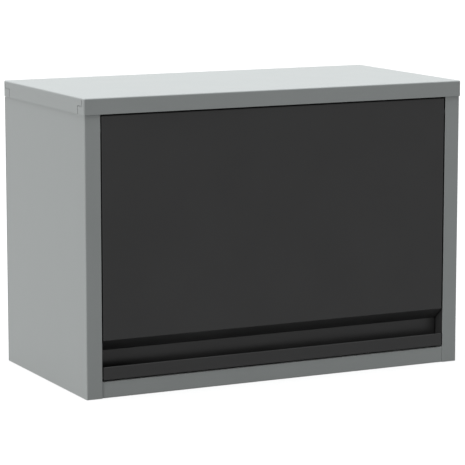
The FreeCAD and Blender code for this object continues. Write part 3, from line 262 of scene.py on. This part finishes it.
def rounded_edges(tree, radius):
    """The softened normal near edges, and a mask of the edges themselves."""
    soft = add(tree, "Bevel", {"Radius": radius}, samples=4).outputs[0]
    sharp = add(tree, "NewGeometry").outputs["Normal"]
    facing = add(tree, "VectorMath", {0: soft, 1: sharp}, operation="DOT_PRODUCT")
    mask = add(tree, "MapRange", {"Value": facing.outputs["Value"], **EDGE_RANGE})
    return soft, mask.outputs[0]


finishes = {}

# %% [markdown]
# ## Powder coat
#
# Both colours of the chest are polyester powder coat, sprayed as dry powder and melted
# in an oven. The melt flows out but never quite levels, which leaves a soft orange
# peel, 2 to 3 mm from hump to hump and only some 0.01 mm high. Under it is a finer
# grain from the powder itself. The edges are painted a paler colour through the edge
# mask, a painted highlight where light would catch them.
#
# The eye reads all this as satin: a clear colour, a broad soft reflection and no
# mirror image. The peel is noise through a Bump node, which costs no geometry. Slow
# noise shifts the colour by a percent or two, as the film's thickness does.
#
# The finer grain is 0.3 mm on the real sheet, far below a pixel. It is drawn at 1.2 mm
# so that it shows in close views.

# %% Powder coat, grey and anthracite
PEEL_WIDTH = 3.0 * MM
PEEL_HEIGHT = 0.012 * MM
GRAIN_WIDTH = 1.2 * MM
GRAIN_HEIGHT = 0.004 * MM
FILM_PATCH = 90 * MM
FILM_EDGE = 0.25 * MM
FILM_SPREAD = 0.04  # how far the roughness wanders to either side
POLYESTER_IOR = 1.5


def powder_coat(name, deep, pale, edge, roughness, shine):
    """Polyester powder, sprayed on steel sheet and baked."""
    material, tree, shader, place = start(name)
    soft, on_edge = rounded_edges(tree, FILM_EDGE)
    film = add(tree, "TexNoise", {"Vector": place, "Scale": 1 / FILM_PATCH, "Detail": 3.0})
    thick = add(tree, "MapRange", {"Value": film.outputs[0], **NOISE_RANGE})
    body = add(tree, "Mix", {0: thick.outputs[0], 6: linear(deep), 7: linear(pale)},
               data_type="RGBA")
    # The paler edge colour is a painted highlight, laid on by the edge mask.
    painted_edge_highlight = add(tree, "Mix", {0: on_edge, 6: body.outputs[2], 7: linear(edge)}, data_type="RGBA")
    gloss = add(tree, "MapRange", {"Value": film.outputs[0], **NOISE_RANGE,
                                   "To Min": roughness - FILM_SPREAD,
                                   "To Max": roughness + FILM_SPREAD})
    peel = add(tree, "TexNoise", {"Vector": place, "Scale": 1 / PEEL_WIDTH, "Detail": 1.0})
    humps = add(tree, "Bump", {"Height": peel.outputs[0], "Distance": PEEL_HEIGHT, "Normal": soft})
    grain = add(tree, "TexNoise", {"Vector": place, "Scale": 1 / GRAIN_WIDTH, "Detail": 2.0})
    fine = add(tree, "Bump", {"Height": grain.outputs[0], "Distance": GRAIN_HEIGHT,
                              "Normal": humps.outputs[0]})
    shader.inputs["IOR"].default_value = POLYESTER_IOR
    shader.inputs["Specular IOR Level"].default_value = shine
    tree.links.new(painted_edge_highlight.outputs[2], shader.inputs["Base Color"])
    tree.links.new(gloss.outputs[0], shader.inputs["Roughness"])
    tree.links.new(fine.outputs[0], shader.inputs["Normal"])
    print(name, "with roughness", roughness)
    return material


# The third colour of each coat is its painted edge highlight.
finishes["grey_powder_coat"] = powder_coat(
    "grey satin powder coat", "#A3A7A6", "#A7ABAA", "#B6BAB9", 0.42, 0.30)
finishes["anthracite_powder_coat"] = powder_coat(
    "anthracite satin powder coat", "#2F2F2F", "#333333", "#444444", 0.36, 0.25)

# %% [markdown]
# ## Zinc-plated steel
#
# Hinge plates, stays, brackets, screws and nuts are mild steel with a few thousandths
# of a millimetre of zinc and a clear blue passivation. The sheet was rolled before it
# was plated, so faint lines run along it, and the passivation leaves patches that lean
# to blue or to straw.
#
# A metal has no colour under its shine: its base colour is the tint of its reflection.
# So Metallic is 1, the patches go into Base Color, and the handling marks into
# Roughness. The rolling lines are 0.05 mm apart on the sheet and are drawn at 0.4 mm.

# %% Zinc plate
LINE_WIDTH = 0.4 * MM
LINE_LENGTH = 12 * MM
LINE_HEIGHT = 0.003 * MM
BLUSH_PATCH = 9 * MM
BLUSH_RANGE = {"From Min": 0.35, "From Max": 0.65}
METAL_EDGE = 0.3 * MM
EDGE_POLISH = 0.08  # an edge is rubbed, so its roughness is lower by this


def bare_metal(name, cool, warm, low, high, patch):
    """A metal with soft edges, patches of two tints and fine lines along it."""
    material, tree, shader, place = start(name)
    soft, on_edge = rounded_edges(tree, METAL_EDGE)
    blush = add(tree, "TexNoise", {"Vector": place, "Scale": 1 / patch, "Detail": 4.0})
    spread = add(tree, "MapRange", {"Value": blush.outputs[0], **BLUSH_RANGE})
    tint = add(tree, "Mix", {0: spread.outputs[0], 6: linear(cool), 7: linear(warm)},
               data_type="RGBA")
    stretched = add(tree, "Mapping", {"Vector": place, "Scale": (
        1 / LINE_WIDTH, 1 / LINE_WIDTH, 1 / LINE_LENGTH)})
    lines = add(tree, "TexNoise", {"Vector": stretched.outputs[0], "Scale": 1.0, "Detail": 2.0})
    marks = add(tree, "MapRange", {"Value": lines.outputs[0], **NOISE_RANGE,
                                   "To Min": low, "To Max": high})
    rub = add(tree, "Math", {0: on_edge, 1: -EDGE_POLISH}, operation="MULTIPLY")
    polished = add(tree, "Math", {0: marks.outputs[0], 1: rub.outputs[0]}, operation="ADD")
    ridges = add(tree, "Bump", {"Height": lines.outputs[0], "Distance": LINE_HEIGHT,
                                "Normal": soft})
    shader.inputs["Metallic"].default_value = 1.0
    tree.links.new(tint.outputs[2], shader.inputs["Base Color"])
    tree.links.new(polished.outputs[0], shader.inputs["Roughness"])
    tree.links.new(ridges.outputs[0], shader.inputs["Normal"])
    print(name, "roughness", low, "to", high)
    return material


finishes["zinc_steel"] = bare_metal(
    "blue-passivated zinc plate", "#C0C6CC", "#CCC9BF", 0.26, 0.42, BLUSH_PATCH)

# %% [markdown]
# ## Aluminium rivets
#
# Blind rivets are drawn aluminium-magnesium wire with a pressed head. The die leaves
# the head smooth but dull, a little whiter than zinc and without its blue cast. The
# same recipe serves with paler tints and smaller patches.

# %% Aluminium
RIVET_PATCH = 3 * MM

finishes["rivet_aluminium"] = bare_metal(
    "pressed rivet aluminium", "#D2D4D6", "#DAD9D5", 0.32, 0.44, RIVET_PATCH)

# %% [markdown]
# ## Moulded plastics
#
# Hinge washers and bushings are black polyamide, which runs on steel without grease.
# The catch housings are black acetal, a little smoother and glossier. Both were injected
# into a mould whose walls had been spark-eroded, and they copy its fine pits.
#
# The pits are a bump from noise. They are about 0.1 mm across and are drawn at 0.5 mm.
# Every edge is painted a paler colour through the edge mask, a painted highlight.

# %% Polyamide and acetal
PIT_WIDTH = 0.5 * MM
PIT_DEPTH = 0.02 * MM
PIT_SPREAD = 0.05
MOULD_EDGE = 0.3 * MM


def moulded(name, colour, pale, roughness, ior):
    """Injection-moulded plastic with the mould's fine pits."""
    material, tree, shader, place = start(name)
    soft, on_edge = rounded_edges(tree, MOULD_EDGE)
    # The paler colour on the edges is a painted highlight, laid on by the edge mask.
    tint = add(tree, "Mix", {0: on_edge, 6: linear(colour), 7: linear(pale)}, data_type="RGBA")
    pits = add(tree, "TexNoise", {"Vector": place, "Scale": 1 / PIT_WIDTH, "Detail": 3.0})
    rough = add(tree, "MapRange", {"Value": pits.outputs[0], **NOISE_RANGE,
                                   "To Min": roughness - PIT_SPREAD,
                                   "To Max": roughness + PIT_SPREAD})
    skin = add(tree, "Bump", {"Height": pits.outputs[0], "Distance": PIT_DEPTH, "Normal": soft})
    shader.inputs["IOR"].default_value = ior
    tree.links.new(tint.outputs[2], shader.inputs["Base Color"])
    tree.links.new(rough.outputs[0], shader.inputs["Roughness"])
    tree.links.new(skin.outputs[0], shader.inputs["Normal"])
    print(name, "with pits", PIT_WIDTH / MM, "mm wide")
    return material


# The second colour of each is its painted edge highlight.
finishes["black_nylon"] = moulded("black polyamide", "#232425", "#303132", 0.50, 1.53)
finishes["catch_plastic"] = moulded("black acetal", "#1C1D1F", "#2A2B2D", 0.40, 1.48)

# %% [markdown]
# ## The catch magnets
#
# Each catch holds a slab of ferrite between two steel pole plates, which carry the
# pull to the striker on the door. The ferrite is charcoal grey and dull like slate. The
# plates are ground steel. Both are one solid, so the finish tells them apart by height:
# inside the middle 5 mm it is ferrite.

# %% Pole plates and ferrite
FERRITE_HEIGHT = 5.0 * MM
FERRITE_GRAIN = 0.6 * MM

magnet_low, magnet_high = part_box("catch_magnet_left")
magnet_middle = (magnet_low.z + magnet_high.z) / 2
material, tree, shader, place = start("ground steel and ferrite")
height = add(tree, "SeparateXYZ", {0: place}).outputs["Z"]
inside = add(tree, "Math", {0: height, 1: magnet_middle, 2: FERRITE_HEIGHT / 2},
             operation="COMPARE")
ground = add(tree, "Mapping", {"Vector": place, "Scale": (
    1 / LINE_LENGTH, 1 / LINE_WIDTH, 1 / LINE_WIDTH)})
scratch = add(tree, "TexNoise", {"Vector": ground.outputs[0], "Scale": 1.0, "Detail": 3.0})
steel = add(tree, "Mix", {0: scratch.outputs[0], 6: linear("#8F8E8A"), 7: linear("#B5B4B0")},
            data_type="RGBA")
crumb = add(tree, "TexNoise", {"Vector": place, "Scale": 1 / FERRITE_GRAIN, "Detail": 4.0})
slate = add(tree, "Mix", {0: crumb.outputs[0], 6: linear("#232426"), 7: linear("#3A3B3D")},
            data_type="RGBA")
skin = add(tree, "Mix", {0: inside.outputs[0], 6: steel.outputs[2], 7: slate.outputs[2]},
           data_type="RGBA")
metal = add(tree, "MapRange", {"Value": inside.outputs[0], "To Min": 1.0, "To Max": 0.0})
rough = add(tree, "MapRange", {"Value": inside.outputs[0], "To Min": 0.34, "To Max": 0.7})
rub = add(tree, "Bump", {"Height": scratch.outputs[0], "Distance": LINE_HEIGHT})
for socket, source in (("Base Color", skin.outputs[2]), ("Metallic", metal.outputs[0]),
                       ("Roughness", rough.outputs[0]), ("Normal", rub.outputs[0])):
    tree.links.new(source, shader.inputs[socket])
finishes["magnet_steel"] = material
print("ferrite between heights", round((magnet_middle - FERRITE_HEIGHT / 2) / MM, 1), "and",
      round((magnet_middle + FERRITE_HEIGHT / 2) / MM, 1), "mm")

# %% [markdown]
# ## Buffer rubber
#
# The two buffers that stop the door are black natural rubber with carbon black, pressed
# in a plain mould. Rubber has a low, wide gloss and a dusty bloom of wax, which is
# strongest where the surface turns away from the eye. High roughness gives the first
# and a little sheen the second.

# %% Rubber
BLOOM_PATCH = 2.5 * MM

material, tree, shader, place = start("black natural rubber")
bloom = add(tree, "TexNoise", {"Vector": place, "Scale": 1 / BLOOM_PATCH, "Detail": 5.0})
tint = add(tree, "Mix", {0: bloom.outputs[0], 6: linear("#161616"), 7: linear("#272726")},
           data_type="RGBA")
mould = add(tree, "TexNoise", {"Vector": place, "Scale": 1 / PIT_WIDTH, "Detail": 2.0})
skin = add(tree, "Bump", {"Height": mould.outputs[0], "Distance": PIT_DEPTH})
rough = add(tree, "MapRange", {"Value": bloom.outputs[0], "To Min": 0.70, "To Max": 0.90})
shader.inputs["IOR"].default_value = 1.52
shader.inputs["Sheen Weight"].default_value = 0.15
shader.inputs["Sheen Roughness"].default_value = 0.5
for socket, source in (("Base Color", tint.outputs[2]), ("Roughness", rough.outputs[0]),
                       ("Normal", skin.outputs[0])):
    tree.links.new(source, shader.inputs[socket])
finishes["buffer_rubber"] = material
print(len(finishes), "finishes ready")

# %% [markdown]
# ## Give each solid its finish
#
# Every solid came with an empty material named after its place in the record, such as
# grey_powder_coat. It is enough to swap that material for the finish of the same name.

# %% Dress the solids
dressed = {}
for name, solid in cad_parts.items():
    for slot in solid.material_slots:
        key = slot.material.name.split(".")[0]
        slot.material = finishes[key]
        dressed[key] = dressed.get(key, 0) + 1
print("solids in each finish:", dressed)

# %% [markdown]
# ## Turned pieces
#
# A rivet, a screw and a buffer are all round, so they can share one tool: a lathe. It
# takes rings, each a radius and a height, and joins neighbouring rings with faces. A
# radius may also be a function of the angle, which is how a cross recess or a hexagon
# gets into a round piece.
#
# Blender has a Screw modifier for this too, but it turns a fixed outline and could not
# change its shape on the way round.
#
# The places come from the solids themselves. A node such as the liner's rivets is ten
# loose shells in one mesh, so the shells are found and the box round each is measured.

# %% A lathe, and the places of the small parts
STEPS = 48
CREASE = math.radians(28)


def shells(node):
    """The lowest and highest corner of each loose shell in a solid's mesh."""
    bm = bmesh.new()
    bm.from_mesh(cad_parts[node].data)
    bmesh.ops.remove_doubles(bm, verts=bm.verts, dist=0.001 * MM)
    left, found = set(bm.verts), []
    while left:
        edge, shell = [left.pop()], []
        while edge:
            point = edge.pop()
            shell.append(point.co.copy())
            near = {other for link in point.link_edges for other in link.verts} & left
            left -= near
            edge.extend(near)
        found.append(tuple(Vector(pick(point[axis] for point in shell) for axis in range(3))
                           for pick in (min, max)))
    bm.free()
    return sorted(found, key=lambda box: tuple(box[0]))


def turn(bm, rings, foot, towards, spin=0.0, angles=None):
    """Turn rings of (radius, height) round an axis that starts at foot."""
    turned = Vector((0, 0, 1)).rotation_difference(Vector(towards)).to_matrix().to_4x4()
    place = Matrix.Translation(foot) @ turned @ Matrix.Rotation(spin, 4, "Z")
    angles = angles or [2 * math.pi * step / STEPS for step in range(STEPS)]
    rows = []
    for radius, height in rings:
        reach = [radius(angle) if callable(radius) else radius for angle in angles]
        ring = [Vector((far * math.cos(angle), far * math.sin(angle), height))
                for far, angle in zip(reach, angles)]
        rows.append([bm.verts.new(place @ point) for point in ring])
    for under, over in zip(rows, rows[1:]):
        for at in range(len(angles)):
            after = (at + 1) % len(angles)
            bm.faces.new((under[at], under[after], over[after], over[at]))
    bm.faces.new(reversed(rows[0]))
    bm.faces.new(rows[-1])


def finish_piece(name, bm, slot, body, *nodes):
    """Make the turned mesh an object that rides on a body in place of its solids."""
    bmesh.ops.recalc_face_normals(bm, faces=bm.faces)
    for face in bm.faces:
        face.smooth = True
    for edge in bm.edges:
        edge.smooth = edge.calc_face_angle(0) < CREASE
    mesh = bpy.data.meshes.new(name)
    bm.to_mesh(mesh)
    bm.free()
    mesh.materials.append(finishes[slot])
    piece = bpy.data.objects.new(name, mesh)
    bpy.context.scene.collection.objects.link(piece)
    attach(piece, body)
    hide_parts(*nodes)
    print(name, "has", len(mesh.polygons), "faces")
    return piece


across = {round((low.x + high.x) / 2 / MM) for low, high in shells("liner_rivets")}
print("the liner's rivets are at x", sorted(across))

# %% [markdown]
# ## Blind rivets
#
# A blind rivet has a low domed head with the broken end of its mandrel in a pit in the
# middle, and a swollen tail behind the sheets. The row across the inside of the door
# holds the stiffener, and four more hold the brackets of the stays.

# %% Domed rivets on the door
RIVET_SHANK = 2.0 * MM
RIVET_HEAD = 3.6 * MM
RIVET_DOME = 1.0 * MM
RIVET_TAIL = 3.0 * MM
RIVET_TAIL_HEIGHT = 1.2 * MM
MANDREL = 1.05 * MM
DOME_RIM = 0.12  # the share of a dome's height that its upright rim takes


def domed_head(base, radius, dome):
    """Rings of a dome on the height base, with the mandrel's pit in the middle."""
    rim = [(radius, base), (radius, base + DOME_RIM * dome)]
    arc = [(radius * math.cos(math.radians(rise)),
            base + dome * (DOME_RIM + (1 - DOME_RIM) * math.sin(math.radians(rise))))
           for rise in (15, 30, 45, 58, 68)]
    pit = [(MANDREL + 0.15 * MM, base + 0.98 * dome), (MANDREL, base + 0.85 * dome),
           (MANDREL, base + 0.35 * dome), (0.85 * MANDREL, base + 0.35 * dome),
           (0.8 * MANDREL, base + 0.5 * dome), (0.3 * MANDREL, base + 0.55 * dome)]
    return rim + arc + pit


def blind_rivet(low, high):
    """Rings of a whole rivet between the far end of its tail and the top of its head."""
    length = high - low
    grip = length - RIVET_DOME
    tail = [(0.5 * RIVET_TAIL, 0), (0.85 * RIVET_TAIL, 0.2 * RIVET_TAIL_HEIGHT),
            (RIVET_TAIL, 0.55 * RIVET_TAIL_HEIGHT), (0.95 * RIVET_TAIL, RIVET_TAIL_HEIGHT),
            (RIVET_SHANK, RIVET_TAIL_HEIGHT)]
    return tail + [(RIVET_SHANK, grip)] + domed_head(grip, RIVET_HEAD, RIVET_DOME)


for node in ("liner_rivets", "door_bracket_rivets"):
    bm = bmesh.new()
    for low, high in shells(node):
        foot = ((low.x + high.x) / 2, low.y, (low.z + high.z) / 2)
        turn(bm, blind_rivet(low.y, high.y), foot, (0, 1, 0))
    finish_piece(node + "_domed", bm, "rivet_aluminium", "door", node)

# %% [markdown]
# ## Flush rivets
#
# The back sheet hangs against a wall, so its rivets are set flush: only a flat disc
# with a small pit shows. The hinge plates are riveted through the jamb in the same way,
# because the door passes there with 2 mm to spare. Their round heads are inside.

# %% Flush rivets on the cabinet
def flush_rivet(length, tail_radius, tail_height):
    """Rings of a rivet whose head is sunk level with the sheet."""
    tail = [(0.5 * tail_radius, 0), (0.85 * tail_radius, 0.15 * tail_height),
            (tail_radius, 0.5 * tail_height), (0.96 * tail_radius, tail_height),
            (RIVET_SHANK, tail_height)]
    face = [(RIVET_SHANK, length - 0.12 * MM), (RIVET_SHANK - 0.12 * MM, length),
            (MANDREL + 0.1 * MM, length), (MANDREL, length - 0.1 * MM),
            (MANDREL, length - 0.35 * MM), (0.3 * MANDREL, length - 0.3 * MM)]
    return tail + face


bm = bmesh.new()
for low, high in shells("back_rivets"):
    foot = ((low.x + high.x) / 2, low.y, (low.z + high.z) / 2)
    turn(bm, flush_rivet(high.y - low.y, RIVET_TAIL, RIVET_TAIL_HEIGHT), foot, (0, 1, 0))
finish_piece("back_rivets_flush", bm, "rivet_aluminium", "cabinet", "back_rivets")

bm = bmesh.new()
for low, high in shells("hinge_rivets"):
    side = 1 if low.x > 0 else -1
    foot = (high.x if side > 0 else low.x, (low.y + high.y) / 2, (low.z + high.z) / 2)
    turn(bm, flush_rivet(high.x - low.x, RIVET_HEAD, RIVET_DOME), foot, (-side, 0, 0))
finish_piece("hinge_rivets_flush", bm, "zinc_steel", "cabinet", "hinge_rivets")

# %% [markdown]
# ## Screws
#
# The catches, stop angles and strikers are held by zinc-plated screws with a cross
# recess. Seen from above, the recess is a plus sign, and its walls lean in
# towards a point.
#
# The lathe gets the plus sign from a function: the distance from the middle to the edge
# of a cross, for any angle. A few more angles at the corners of the arms keep these
# corners sharp. Each screw is turned by its own angle, because nobody lines them up.
# The thread is drawn as rings, 0.7 mm apart, since only its outline shows.

# %% Cross-recessed screws
ARM_LENGTH = 0.54  # shares of the head's radius
ARM_WIDTH = 0.13
THREAD_PITCH = 0.7 * MM
THREAD_ROOT = 0.84  # the radius between two ridges, as a share of the outer one
SPIN = 2.4
ARM_CORNER = math.atan(ARM_WIDTH / ARM_LENGTH)
CROSS_ANGLES = sorted([2 * math.pi * step / STEPS for step in range(STEPS)]
                      + [quarter * math.pi / 2 + side * ARM_CORNER
                         for quarter in range(4) for side in (-1, 1)])


def cross(size):
    """The reach of a plus sign's outline at any angle, for a head of this radius."""
    def reach(angle):
        part = angle % (math.pi / 2)
        part = min(part, math.pi / 2 - part)
        if part <= ARM_CORNER + 1e-9:
            return size * (ARM_LENGTH / math.cos(part))
        return size * (ARM_WIDTH / math.sin(part))
    return reach


def thread(radius, start, end):
    """Rings that go in and out along a screw or stud."""
    rings, height, outside = [], start, True
    while height < end:
        rings.append((radius if outside else THREAD_ROOT * radius, height))
        height += THREAD_PITCH / 2
        outside = not outside
    return rings


def screw(length, radius, head_radius, head_height, recess):
    """Rings of a screw from its tip to the recess in its head."""
    neck = length - head_height
    tip = [(0.35 * radius, 0), (THREAD_ROOT * radius, 0.6 * MM)]
    under = [(THREAD_ROOT * radius, neck), (head_radius, neck)]
    pan = [(head_radius, neck + 0.35 * head_height),
           (0.93 * head_radius, neck + 0.72 * head_height),
           (0.8 * head_radius, neck + 0.94 * head_height), (0.66 * head_radius, length)]
    cut = [(cross(head_radius), length), (cross(0.8 * head_radius), length - 0.6 * recess),
           (cross(0.45 * head_radius), length - recess)]
    return tip + thread(radius, 0.9 * MM, neck - 0.4 * MM) + under + pan + cut


SCREWS = {  # node: body, radius of shank and head, height of head, depth of recess
    "catch_screws": ("cabinet", 1.6, 3.2, 2.0, 1.4),
    "angle_screws": ("cabinet", 1.6, 3.2, 2.0, 1.4),
    "striker_screws": ("door", 1.6, 2.8, 0.6, 0.8),
}
for node, (body, shank, head, height, recess) in SCREWS.items():
    bm = bmesh.new()
    for number, (low, high) in enumerate(shells(node)):
        middle = (low + high) / 2
        if body == "door":
            foot, towards, length = (middle.x, low.y, middle.z), (0, 1, 0), high.y - low.y
        else:
            foot, towards, length = (middle.x, middle.y, low.z), (0, 0, 1), high.z - low.z
        turn(bm, screw(length, shank * MM, head * MM, height * MM, recess * MM), foot, towards,
             SPIN * number, CROSS_ANGLES)
    finish_piece(node + "_crossed", bm, "zinc_steel", body, node)

# %% [markdown]
# ## Welded studs and their nuts
#
# Eight M5 studs are welded under the lid and ten M4 studs inside the walls and stiles, so
# that no screw head shows from outside. Hexagon nuts draw them tight, which can be seen
# when the door is up. A nut's corners are turned off at both ends, and where that cone
# meets the flats it leaves the curved edges that make a nut look like a nut. Here the
# radius is the smaller of the hexagon's and the cone's.
#
# A stud is longest along its axis and a nut is shortest, so the box round each one tells
# which way it points: up to the lid, out to a wall or forward to a stile.

# %% Studs and hexagon nuts
HEX_STEPS = 72
HEX_ANGLES = [2 * math.pi * step / HEX_STEPS for step in range(HEX_STEPS)]


def hexagon(size, limit):
    """The reach of a hexagon's outline at any angle, held inside a circle."""
    def reach(angle):
        part = (angle + math.pi / 6) % (math.pi / 3) - math.pi / 6
        return min(size * math.cos(math.pi / 6) / math.cos(math.pi / 6 - abs(part)), limit * size)
    return reach


def nut(height, size, bore):
    """Rings of a nut from its lower face to its upper one."""
    return [(bore + 0.03 * MM, 0.1 * height), (bore + 0.5 * MM, 0), (hexagon(size, 0.87), 0),
            (hexagon(size, 0.93), 0.045 * height), (hexagon(size, 1.0), 0.14 * height),
            (hexagon(size, 1.0), 0.92 * height), (hexagon(size, 0.9), height)]


def stud(length, radius):
    """Rings of a stud from its tip to its weld."""
    return [(0.7 * radius, 0), (THREAD_ROOT * radius, 0.5 * MM),
            *thread(radius, 0.8 * MM, length - 0.3 * MM), (THREAD_ROOT * radius, length)]


def towards_sheet(low, high, pick):
    """The free end of a stud or nut, the way from it to the sheet, and the length."""
    middle, size = (low + high) / 2, high - low
    along = list(size).index(pick(size))
    way = Vector((0, 0, 0))
    way[along] = (math.copysign(1, middle.x), -1, 1)[along]
    return middle - way * size[along] / 2, way, size[along]


for group, size, radius in (("lid", 4.6 * MM, 2.5 * MM), ("frame", 4.0 * MM, 2.0 * MM)):
    for kind, pick in (("nuts", min), ("studs", max)):
        bm = bmesh.new()
        for low, high in shells(f"{group}_{kind}"):
            foot, way, length = towards_sheet(low, high, pick)
            if kind == "nuts":
                turn(bm, nut(length, size, radius), foot, way, 0.0, HEX_ANGLES)
            else:
                turn(bm, stud(length, radius), foot, way)
        finish_piece(f"{group}_{kind}_turned", bm, "zinc_steel", "cabinet", f"{group}_{kind}")

# %% [markdown]
# ## Rubber buffers
#
# Each buffer is pushed through a hole in its angle: a pad in front with a rounded lip,
# a thin neck, and a tapered knob behind that keeps it from falling out. The lathe turns
# all three in one go.

# %% Buffers
PAD = [(0.35, 0.5), (0.45, 0.15), (0.7, 0), (0.85, 0.2), (0.95, 0.7), (1.0, 1.5), (1.0, 7.2),
       (0.96, 7.5), (0.96, 8.9)]  # shares of the pad's radius, and heights in mm
NECK_AND_KNOB = [(2.0, 9.0), (2.0, 10.5), (3.2, 10.6), (3.1, 11.2), (2.2, 12.2)]  # both in mm
KNOB_TIP = 1.2 * MM

for side in ("left", "right"):
    node = "stop_buffer_" + side
    low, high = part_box(node)
    radius = (high.x - low.x) / 2
    rings = [(share * radius, height * MM) for share, height in PAD]
    rings += [(wide * MM, height * MM) for wide, height in NECK_AND_KNOB]
    rings.append((KNOB_TIP, high.y - low.y))
    bm = bmesh.new()
    turn(bm, rings, ((low.x + high.x) / 2, low.y, (low.z + high.z) / 2), (0, 1, 0))
    finish_piece(node + "_moulded", bm, "buffer_rubber", "cabinet", node)
